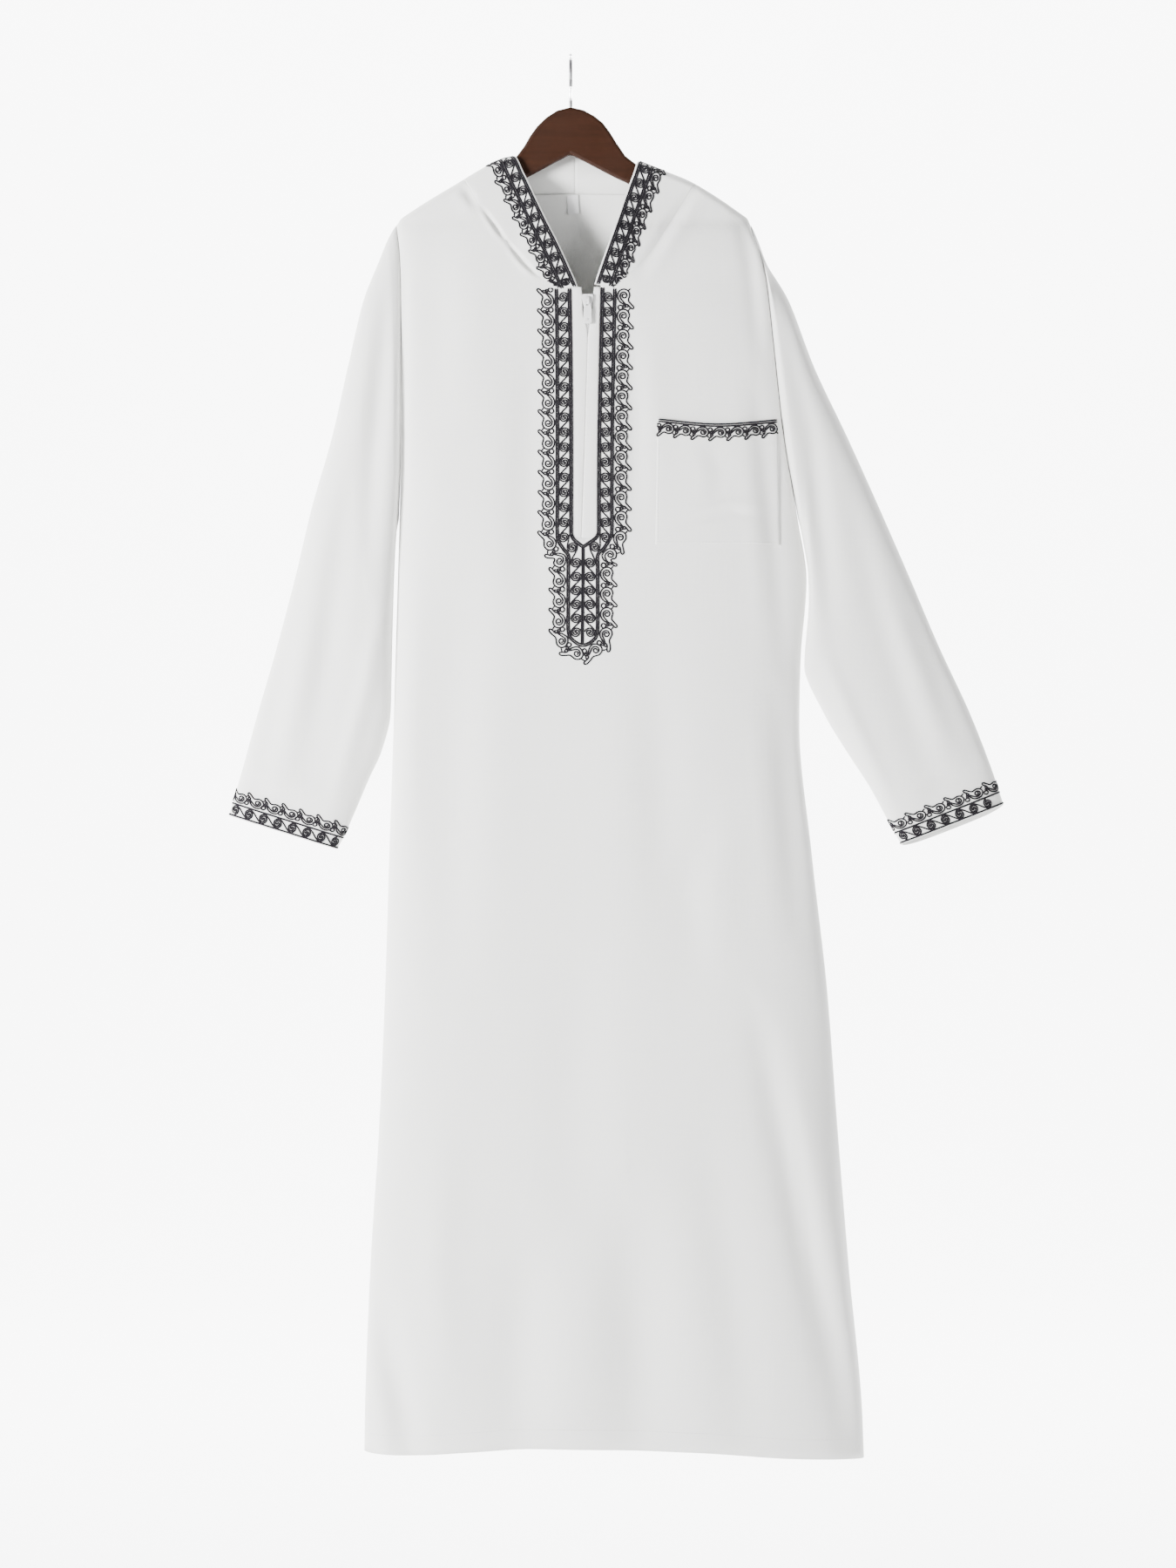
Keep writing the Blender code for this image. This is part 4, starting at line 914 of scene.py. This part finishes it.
def layOn(pointAt, way=1.0, step=0.4):
    # (x, z) to a cloth: the point there, and the cross product of short steps along both
    def lay(plane):
        x, z = plane[:, 0], plane[:, 1]
        here = pointAt(x, z)
        normal = way * np.cross(pointAt(x + step, z) - here, pointAt(x, z + step) - here)
        return here, normal / np.linalg.norm(normal, axis=1, keepdims=True)
    return lay


onFront, onBack = layOn(frontPoint), layOn(backPoint, -1.0)


def besideEdge(grid, normal):
    # (u, v) to a cloth's grid: u along its last column's edge, v back from that edge
    edge = np.concatenate([[0.0], np.cumsum(np.linalg.norm(np.diff(grid[:, -1], axis=0), axis=1))])
    steps = np.linalg.norm(np.diff(grid, axis=1), axis=2)
    reach = np.hstack([np.cumsum(steps[:, ::-1], axis=1)[:, ::-1], np.zeros((len(grid), 1))])

    def place(uv):
        row = np.interp(uv[:, 0], edge, np.arange(len(edge)))
        low = np.minimum(row.astype(int), len(edge) - 2)
        part = (row - low)[:, None]
        span = reach[low] * (1 - part) + reach[low + 1] * part
        inside = uv[:, 1] < span[:, 0] - 1.0
        column = np.clip((span > uv[:, 1:2]).sum(axis=1) - 1, 0, span.shape[1] - 2)
        pick = np.arange(len(uv))
        near, far = span[pick, column + 1], span[pick, column]
        share = np.clip((far - uv[:, 1]) / np.maximum(far - near, 1e-9), 0.0, 1.0)[:, None]

        def read(values):
            upper, lower = [values[row, column] * (1 - share) + values[row, column + 1] * share
                            for row in (low, low + 1)]
            return upper * (1 - part) + lower * part

        way = read(normal)
        return read(grid), way / np.linalg.norm(way, axis=1, keepdims=True), inside

    return place, edge[-1]


def layCords(name, parts, finish):
    # each run of points becomes a flattened tube on the cloth: a ring of sides round every
    # point, across the run and out of the cloth, with the end rings drawn in and closed
    sides = cordLook["sides"]
    points, outward, starts, radii, total = [], [], [], [], 0
    for runs, radius, surface in parts:
        sizes = np.array([len(run) for run in runs])
        found = surface(np.vstack(runs))
        place, way = found[0], found[1]
        inside = found[2] if len(found) == 3 else np.ones(len(place), bool)
        run = np.repeat(np.arange(len(runs)), sizes)
        whole = (np.bincount(run, ~inside, minlength=len(runs)) == 0)[run]
        keep = inside if not whole.all() else whole
        broken = np.concatenate([[True], (run[1:] != run[:-1]) | ~keep[:-1]])
        piece = np.cumsum(broken)[keep]
        points.append((place + way * radius * cordLook["sink"])[keep])
        radii.append(np.full(keep.sum(), radius))
        outward.append(way[keep])
        starts.append(piece + total)
        total = starts[-1].max() + 1 if len(piece) else total
    run = np.concatenate(starts)
    long = np.bincount(run)[run] > 2
    points, outward = np.vstack(points)[long], np.vstack(outward)[long]
    run, radii = run[long], np.concatenate(radii)[long]
    first = np.concatenate([[True], run[1:] != run[:-1]])
    last = np.concatenate([run[1:] != run[:-1], [True]])
    number = np.arange(len(points))
    ahead, behind = np.where(last, number, number + 1), np.where(first, number, number - 1)
    way = points[ahead] - points[behind]
    side = np.cross(way, outward)
    side /= np.maximum(np.linalg.norm(side, axis=1, keepdims=True), 1e-9)
    angle = np.arange(sides) * 2 * math.pi / sides
    size = (np.where(first | last, 0.55, 1.0) * radii)[:, None, None]
    wide, high = np.cos(angle)[None, :, None], cordLook["flatten"] * np.sin(angle)[None, :, None]
    rings = points[:, None] + size * (wide * side[:, None] + high * outward[:, None])
    here = number[~last][:, None] * sides + np.arange(sides)
    after = number[~last][:, None] * sides + (np.arange(sides) + 1) % sides
    quads = np.stack([here, after, after + sides, here + sides], axis=-1).reshape(-1, 4)
    low, high = number[first] * sides, number[last] * sides
    caps = [low[:, None] + [3, 2, 1, 0], low[:, None] + [5, 4, 3, 0],
            high[:, None] + [0, 1, 2, 3], high[:, None] + [0, 3, 4, 5]]
    quads = np.vstack([quads] + caps)[:, ::-1]
    gone = np.linalg.norm(points - points[behind], axis=1)
    gone[first] = 0.0
    length = np.cumsum(gone) * mm
    uv = np.stack([np.repeat(length, sides), np.tile(angle / (2 * math.pi), len(points))], axis=1)
    made = buildMesh(name, rings.reshape(-1, 3), quads, finish, uv=uv)
    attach(made, "garment")
    print(name, len(quads) * 2, "triangles")
    return made


def makeCord(name, dark, light):
    # twisted two-ply cord: a slanting wave along the cord, dusty on its high threads
    cord = Finish(name, Roughness=0.7, Specular_IOR_Level=0.15)
    split = cord.add("ShaderNodeSeparateXYZ", inputs={"Vector": cord.place(uv=True)})
    around = Wire(cord.tree, split.socket.node.outputs[1])
    twist = (split * (2 * math.pi / 0.0018) + around * (4 * math.pi)).math("SINE")
    dust = cord.noise(cord.place(), 420.0)
    cord.feed("Base Color", cord.blend(twist * 0.25 + dust * 0.6, dark, light))
    cord.bump(twist + dust * 0.6, 0.6, 0.0002)
    return cord.material


cordDark = makeCord("cordDark", (0.004, 0.0035, 0.005, 1.0), (0.017, 0.015, 0.02, 1.0))
threadWhite = makeCord("threadWhite", (0.70, 0.70, 0.69, 1.0), (0.82, 0.82, 0.81, 1.0))
lineSize, fineSize, stitchSize = cordLook["line"], cordLook["fine"], cordLook["stitch"]
pair = (-cordLook["lineGap"], cordLook["lineGap"])

# the placket's lines as x and z: mid line from the right top round the foot to the left top
heights = np.linspace(-255.8, -520.0, 9)
slotLeft, slotRight = through(bodyRows, heights, 3), through(bodyRows, heights, 4)
midRight = np.column_stack([slotRight + 15.6, heights])
midLeft = np.column_stack([slotLeft - 16.4, heights])
foot = [(42.5, -529.0), (36.0, -539.5), (29.6, -546.5), (29.4, -560.0), (29.4, -600.0),
        (29.0, -630.0), (24.5, -639.5), (13.5, -645.0), (2.5, -639.5), (-2.4, -630.0),
        (-2.6, -600.0), (-2.6, -560.0), (-2.4, -547.5), (-7.5, -540.5), (-13.4, -531.0)]
middle = np.vstack([midRight, foot, midLeft[::-1]])
midPlace, midLength = besidePath(middle, 1.0)
# the lace keeps its size round the foot: it is laid out along its own middle, 10.5 mm out
laceOut = 10.5
outer = np.column_stack([np.linspace(0.0, midLength, 130), np.full(130, laceOut)])
outer = besidePath(middle, 1.0, 9.0)[0](outer)
laceMiddle, laceLength = besidePath(outer, 1.0, 7.0)
forkLeft, forkLeftLength = besidePath([
    (-1.6, -255.8), (-0.2, -340.0), (0.4, -430.0), (0.4, -518.0), (0.8, -524.0), (2.6, -528.6),
    (6.4, -532.2), (13.4, -537.8)], 1.0)
forkRight, forkRightLength = besidePath([
    (34.9, -254.6), (33.0, -340.0), (31.2, -430.0), (30.8, -517.0), (30.2, -523.0), (27.6, -527.8),
    (22.6, -531.6), (13.6, -537.8)], 1.0)
centrePlace, centreLength = besidePath([(13.5, -537.0), (13.4, -580.0), (12.6, -643.5)], 1.0)


def columnCentres(side):
    # spirals down beside the slot, one on the slant, then down beside the centre line
    z = -265.0 - scroll["pitch"] * np.arange(17)
    x = through(bodyRows, z, 3) - 9.0 if side == "left" else through(bodyRows, z, 4) + 8.7
    slant = (1.8, -538.2) if side == "left" else (26.2, -537.4)
    lowerX = 6.0 if side == "left" else 21.0
    lower = [(lowerX, -555.0 - 15.15 * step) for step in range(6)]
    return np.vstack([np.column_stack([x, z]), [slant], lower])


placketParts = [
    ([midPlace(run) for run in lineRuns(midLength, pair)], lineSize, onFront),
    ([laceMiddle(run) for run in raised(laceRuns(wideLace, laceLength), -laceOut)], fineSize,
     onFront),
    ([forkLeft(run) for run in lineRuns(forkLeftLength, pair)], lineSize, onFront),
    ([forkRight(run) for run in lineRuns(forkRightLength, pair)], lineSize, onFront),
    ([centrePlace(run) for run in lineRuns(centreLength, (-0.9, 0.9))], lineSize, onFront),
    (scrollChain(columnCentres("left"), 5.5, 1.0), fineSize, onFront),
    (scrollChain(columnCentres("right"), 5.5, -1.0), fineSize, onFront),
]
layCords("placketCords", placketParts, cordDark)

# the hood's band, v from the rim
hoodBand = {"lineV": 3.2, "scrollV": 9.9, "midV": 16.8, "radius": 5.2}
for side in ("left", "right"):
    place, length = besideEdge(*hoods[side])
    lines = lineRuns(length - 0.6, [hoodBand[key] + gap for key in ("lineV", "midV") for gap in pair])
    spirals = scrollChain(scrollCentres(length, hoodBand["scrollV"]), hoodBand["radius"], 1.0)
    lace = laceRuns(narrowLace, length)
    if side == "right":
        lace = mirrored(lace, length)
    lace = raised(lace, hoodBand["midV"])
    layCords("hoodCords" + side.capitalize(),
             [(lines, lineSize, place), (spirals + lace, fineSize, place)], cordDark)

# the cuffs' bands, v up from the sleeve's edge, on the front and the back layer
cuffBand = {"lineV": 1.7, "scrollV": 7.8, "midV": 14.2, "radius": 5.0}
for side, faces in (("left", sleeveLeftFaces), ("right", sleeveRightFaces)):
    parts = []
    for face, way in zip(faces, (1.0, -1.0)):
        grid = face.transpose(1, 0, 2)
        normal = gridNormals(grid) * signOf[side] * way
        place, length = besideEdge(grid, normal)
        lines = lineRuns(length, (cuffBand["lineV"], cuffBand["midV"]))
        centres = scrollCentres(length, cuffBand["scrollV"], 0.6)
        spirals = scrollChain(centres, cuffBand["radius"], 1.0)
        lace = laceRuns(narrowLace, length)
        if side == "left":
            lace = mirrored(lace, length)
        else:
            spirals = mirrored(spirals, length)
        lace = raised(lace, cuffBand["midV"])
        parts += [(lines, lineSize, place), (spirals + lace, fineSize, place)]
    layCords("cuffCords" + side.capitalize(), parts, cordDark)


print("pocket, flaps, zip and label")
pocket = {"left": (95.0, 92.6), "right": (226.0, 228.0), "topZ": -397.0, "footZ": -534.6, "dip": 5.2,
          "edgeLift": 1.5, "middleLift": 2.5, "wall": 1.0}
pocketFolds = ((((112.0, -520.0), (140.0, -508.0), (176.0, -500.0), (210.0, -503.0)), 5.5, -0.9, 1.0),
               (((150.0, -420.0), (162.0, -455.0), (158.0, -490.0)), 11.0, -0.6, -1.0))


def pocketSides(b):
    # the pocket's left and right edges at a share of its height
    return [low + (high - low) * b for low, high in (pocket["left"], pocket["right"])]


def pocketPoint(x, z, out=0.0):
    # lies on the front and stands off it: little at its sewn edges, more over the middle
    # and the mouth: lift = edge + (middle - edge) (1 - |2a - 1|^5) (1 - b^7)
    b = np.clip((pocket["topZ"] - z) / (pocket["topZ"] - pocket["footZ"]), 0.0, 1.0)
    left, right = pocketSides(b)
    a = np.clip((x - left) / (right - left), 0.0, 1.0)
    swell = (1.0 - np.abs(2 * a - 1.0) ** 5) * (1.0 - b ** 7)
    lifted = pocket["edgeLift"] + (pocket["middleLift"] - pocket["edgeLift"]) * swell
    return frontPoint(x, z, lifted + out + foldHeight(x, z, pocketFolds) * swell)


def pocketMouth(a):
    return pocket["topZ"] - pocket["dip"] * np.sin(math.pi * a) ** 1.2


onPocket = layOn(pocketPoint)
a = np.linspace(0.0, 1.0, 64)[None, :]
b = np.linspace(0.0, 1.0, 60)[:, None]
top = pocketMouth(a)
z = top + (pocket["footZ"] - top) * b
left, right = pocketSides(b)
pocketGrid = pocketPoint(left + (right - left) * a, z)
pocketPiece = clothWall("chestPocketCloth", pocketGrid, clothWhite, pocket["wall"])
pieceOf(pocketPiece, "chest_pocket")

mouthX = np.linspace(225.4, 95.2, 24)
mouthZ = pocketMouth((mouthX - 95.0) / 131.0) - 2.8
mouthPlace, mouthLength = besidePath(np.column_stack([mouthX, mouthZ]), 1.0)
pocketParts = [([mouthPlace(run) for run in lineRuns(mouthLength, pair)], lineSize, onPocket),
               ([mouthPlace(run) for run in laceRuns(pocketLace, mouthLength)], fineSize, onPocket)]
layCords("pocketCords", pocketParts, cordDark)


def stitches(points, side=1.0, pitch=3.4, size=2.2, v=0.0):
    # short straight runs along a path, one for each stitch
    place, length = besidePath(points, side)
    starts = np.arange(0.6, length - size, pitch)
    share = np.array([0.0, 0.18, 0.5, 0.82, 1.0])
    return [place(np.column_stack([start + share * size, np.full(5, v)])) for start in starts]


edgePath = [(97.0, -401.0), (95.6, -460.0), (94.9, -532.4), (160.0, -532.4), (225.9, -532.4),
            (225.0, -460.0), (224.2, -401.0)]
edgeStitches = stitches(edgePath[:3]) + stitches(edgePath[2:5]) + stitches(edgePath[4:])
layCords("pocketStitches", [(edgeStitches, stitchSize, onPocket)], threadWhite)

flap = {"wall": 1.1, "sink": 0.4, "swell": 0.35}


def flapGrid(side):
    # from the slot's sewn edge to the free folded edge, swelling a little between them
    z = np.linspace(-254.6, -528.6, 120)
    free = through(flapRows, z, 1 if side == "left" else 2)
    sewn = through(bodyRows, z, 3) + 0.6 if side == "left" else through(bodyRows, z, 4) - 0.6
    low, high = (sewn, free) if side == "left" else (free, sewn)
    share = np.linspace(0.0, 1.0, 12)
    x = low[:, None] + (high - low)[:, None] * share
    slack = 1.0 + 0.35 * np.sin(z / 19.0 + (side == "left"))
    swell = flap["swell"] * np.sin(math.pi * share)[None, :] * slack[:, None]
    return frontPoint(x, np.repeat(z[:, None], 12, axis=1), swell - flap["sink"])


for side in ("left", "right"):
    grid = flapGrid(side)
    piece = clothWall("zipFlap" + side.capitalize() + "Cloth", grid, clothWhite, flap["wall"],
                      edgeRound=0.5)
    pieceOf(piece, "zip_flap_" + side)

zipLook = {"pitch": 2.0, "toothWidth": 2.3, "toothHeight": 1.1, "toothDepth": 0.7}
tapeZ = np.linspace(-279.0, -527.0, 150)
zipMiddle = (through(flapRows, tapeZ, 1) + through(flapRows, tapeZ, 2)) / 2
tapeInside = -(flap["sink"] + flap["wall"] + 0.4)


def makeTape():
    # woven tape with fine ribs along it, in two halves that meet under the teeth
    across = np.linspace(-9.0, 9.0, 41)
    ribs = 0.06 * np.sin(across * 2 * math.pi / 1.2) - 0.25 * np.exp(-(across / 0.7) ** 2)
    x = zipMiddle[:, None] + across
    grid = frontPoint(x, np.repeat(tapeZ[:, None], 41, axis=1), tapeInside + ribs[None, :])
    piece = clothWall("zipTapeCloth", grid, clothFine, 0.7)
    pieceOf(piece, "zip_tape")


def makeTeeth():
    # each tooth is a small pillow, |x|^3 + |z|^3 rounded, set by turns left and right of the middle
    z = np.arange(-280.5, -526.0, -zipLook["pitch"] / 2)
    side = np.where(np.arange(len(z)) % 2 == 0, -1.0, 1.0)
    x = through(flapRows, z, 1) / 2 + through(flapRows, z, 2) / 2 + side * 0.75
    theta = np.arange(8) * math.pi / 4 + math.pi / 8
    levels = np.array([0.0, 0.75, 1.0, 0.75, 0.12])
    depth = np.array([0.0, 0.15, 0.5, 0.9, 1.0]) * zipLook["toothDepth"]
    round8 = np.stack([np.sign(np.cos(theta)) * np.abs(np.cos(theta)) ** 0.6,
                       np.sign(np.sin(theta)) * np.abs(np.sin(theta)) ** 0.6], axis=1)
    base = frontPoint(x, z, tapeInside + 0.05)
    local = np.stack([levels[:, None] * round8[None, :, 0] * zipLook["toothWidth"] / 2,
                      -np.repeat(depth[:, None], 8, axis=1),
                      levels[:, None] * round8[None, :, 1] * zipLook["toothHeight"] / 2], axis=-1)
    local[0] = local[1] * [0.7, 0.0, 0.7]
    points = base[:, None, None] + local
    ring = np.arange(8)
    number = np.arange(len(z))[:, None, None] * 40
    here = number + np.arange(4)[None, :, None] * 8 + ring
    after = number + np.arange(4)[None, :, None] * 8 + (ring + 1) % 8
    quads = np.stack([here, after, after + 8, here + 8], axis=-1).reshape(-1, 4)
    number = np.arange(len(z))[:, None] * 40
    caps = [number + [0, 3, 2, 1], number + [0, 5, 4, 3], number + [0, 7, 6, 5],
            number + [32, 33, 34, 35], number + [32, 35, 36, 37], number + [32, 37, 38, 39]]
    made = buildMesh("zipTeeth", points.reshape(-1, 3), np.vstack([quads] + caps), enamel)
    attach(made, "garment")


def makeEnamel():
    # white enamel over cast metal, a little chalky, rubbed along raised places
    coat = Finish("enamelWhite", Roughness=0.34, Specular_IOR_Level=0.45)
    cloud = coat.noise(coat.place(), 260.0, 4.0)
    wear = coat.noise(coat.place(), 900.0, 2.0)
    tone = cloud * 0.6 + wear * 0.3
    coat.feed("Base Color", coat.blend(tone, (0.60, 0.60, 0.59, 1.0), (0.76, 0.76, 0.75, 1.0)))
    coat.feed("Roughness", 0.26 + cloud * 0.2)
    coat.bump(cloud + wear * 0.4, 0.25, 0.00008)
    return coat.material


clothFine = makeCloth("clothFine", (0.78, 0.78, 0.77, 1.0), (0.70, 0.70, 0.69, 1.0), 0.7)
satin = makeCloth("labelSatin", (0.86, 0.86, 0.86, 1.0), (0.80, 0.80, 0.80, 1.0), 0.5)
enamel = makeEnamel()
makeTape()
makeTeeth()


def makeLabel():
    # a soft loop of tape: flat against the back, curling forward a little at its fold
    across = np.linspace(-6.1, 6.1, 17)[None, :]
    down = np.linspace(0.0, 1.0, 26)[:, None]
    z = -149.6 - 20.2 * down + 0.5 * np.sin(across / 3.1)
    x = across + 2.2 + 0.6 * down
    depth = panelDepth(x, z, "back") - 2.6 - 1.5 * down ** 3 - 0.35 * np.sin(across / 2.6)
    grid = np.stack(np.broadcast_arrays(x, depth, z), axis=-1)
    piece = clothWall("neckLabelTape", grid, satin, 0.55, edgeRound=0.5)
    pieceOf(piece, "neck_label")


makeLabel()

# the hem's stitches, front and back, on the groove above the turn-up
hemX = np.linspace(-219.0, 311.0, 60)
frontHem = np.column_stack([hemX, through(hemRows, hemX, 1) + hem["turnUp"]])
backHem = np.column_stack([hemX, through(hemRows, hemX, 2) + hem["turnUp"]])
hemParts = [(stitches(path, pitch=4.2, size=2.9), stitchSize, surface)
            for path, surface in ((frontHem, onFront), (backHem, onBack))]
layCords("hemStitches", hemParts, threadWhite)

print("hanger")


def makeWood():
    # dark varnished wood: long grain in two brown tones, fine pores, a satin coat with dull spots
    wood = Finish("darkVarnishedWood", Roughness=0.5, Specular_IOR_Level=0.14, Coat_Roughness=0.45)
    long = wood.noise(wood.place((9.0, 60.0, 110.0), (0.0, 0.5, 0.0)), 1.0, 5.0, 0.6)
    pores = wood.noise(wood.place((60.0, 700.0, 900.0)))
    dull = wood.noise(wood.place(), 22.0)
    wood.feed("Base Color", wood.blend(long * 0.75 + pores * 0.25, (0.011, 0.0036, 0.0014, 1.0),
                                       (0.034, 0.0112, 0.0045, 1.0)))
    wood.feed("Roughness", 0.42 + dull * 0.2)
    wood.feed("Coat Weight", dull * 0.06)
    wood.bump(long + pores * 0.5, 0.2, 0.0002)
    return wood.material


def makeSteel():
    # drawn steel wire: bright, with long fine draw marks and small dull patches
    steel = Finish("hookSteel", Metallic=1.0, Roughness=0.28)
    marks = steel.noise(steel.place((900.0, 60.0, 60.0)))
    spots = steel.noise(steel.place(), 160.0)
    steel.feed("Base Color", steel.blend(spots, (0.36, 0.36, 0.37, 1.0), (0.55, 0.55, 0.56, 1.0)))
    steel.feed("Roughness", 0.2 + marks * 0.25)
    steel.bump(marks, 0.15, 0.0001)
    return steel.material


def finishNode(name, material):
    # a CAD node whose shape is right keeps its mesh and gets a better finish
    for slot in nodes[name].material_slots:
        slot.material = material


finishNode("hanger_wood", makeWood())
finishNode("hanger_hook", makeSteel())
finishNode("zip_slider", enamel)
finishNode("zip_pull", enamel)

print("stage")
studio = {"floorZ": -2.05, "pale": (0.93, 0.93, 0.93, 1.0), "keyPower": 230.0, "fillPower": 26.0,
          "backPower": 2600.0, "rimPower": 18.0, "distance": 5.2}


def addStage():
    # a floor that sweeps up into the backdrop in a quarter circle
    paper = Finish("paleBackdrop", Roughness=0.9)
    grain = paper.noise(paper.place(), 3.0, 2.0)
    paper.feed("Base Color", paper.blend(grain, studio["pale"], (0.95, 0.95, 0.95, 1.0)))
    turn = np.linspace(0.0, math.pi / 2, 24)
    depth = np.concatenate([[-10.0, -4.0, 2.0], 6.6 + 2.4 * np.sin(turn), [9.0, 9.0]]) * 1000
    height = np.concatenate([[0.0, 0.0, 0.0], 2.4 * (1 - np.cos(turn)), [4.0, 9.0]]) * 1000
    across = np.linspace(-14000.0, 14000.0, 9)
    height += studio["floorZ"] * 1000
    grid = np.stack(np.broadcast_arrays(across[None, :], depth[:, None], height[:, None]), axis=-1)
    number = np.arange(grid.shape[0] * grid.shape[1]).reshape(grid.shape[:2])
    quads = np.stack([number[:-1, :-1], number[:-1, 1:], number[1:, 1:], number[1:, :-1]], axis=-1)
    sweep = buildMesh("studioSweep", grid.reshape(-1, 3), quads.reshape(-1, 4), paper.material)


def addArea(name, place, aim, size, power):
    lamp = bpy.data.lights.new(name, "AREA")
    lamp.shape, lamp.size, lamp.size_y, lamp.energy = "RECTANGLE", size[0], size[1], power
    made = bpy.data.objects.new(name, lamp)
    made.location = place
    made.rotation_euler = (Vector(aim) - Vector(place)).to_track_quat("-Z", "Y").to_euler()
    bpy.context.scene.collection.objects.link(made)


addStage()
addArea("keyLight", (-1.9, -1.45, -0.35), (0.05, 0.0, -0.68), (0.6, 0.8), studio["keyPower"])
addArea("fillLight", (1.9, -1.6, -0.5), (0.1, 0.0, -0.7), (1.0, 1.2), studio["fillPower"])
addArea("sweepLightLeft", (-3.2, 3.2, 4.2), (-1.2, 8.0, -1.2), (3.0, 2.0), studio["backPower"])
addArea("sweepLightRight", (3.2, 3.2, 4.2), (1.2, 8.0, -1.2), (3.0, 2.0), studio["backPower"])
addArea("backLight", (-1.6, 3.0, 1.2), (0.0, 0.0, -0.7), (1.6, 1.6), studio["rimPower"])
world = bpy.data.worlds.new("paleWorld")
world.use_nodes = True
world.node_tree.nodes["Background"].inputs["Color"].default_value = (0.95, 0.97, 1.0, 1.0)
world.node_tree.nodes["Background"].inputs["Strength"].default_value = 0.3
bpy.context.scene.world = world

# the photo shows 1.2825 x 1.71 m at the garment, centred on x 19 mm and z -796 mm
lens = bpy.data.cameras.new("photoCamera")
lens.lens = 36.0 * studio["distance"] / 1.71
lens.clip_end = 60.0
camera = bpy.data.objects.new("photoCamera", lens)
camera.location = (0.019, -studio["distance"] - 0.022, -0.796)
camera.rotation_euler = (math.pi / 2, 0.0, 0.0)
bpy.context.scene.collection.objects.link(camera)
bpy.context.scene.camera = camera
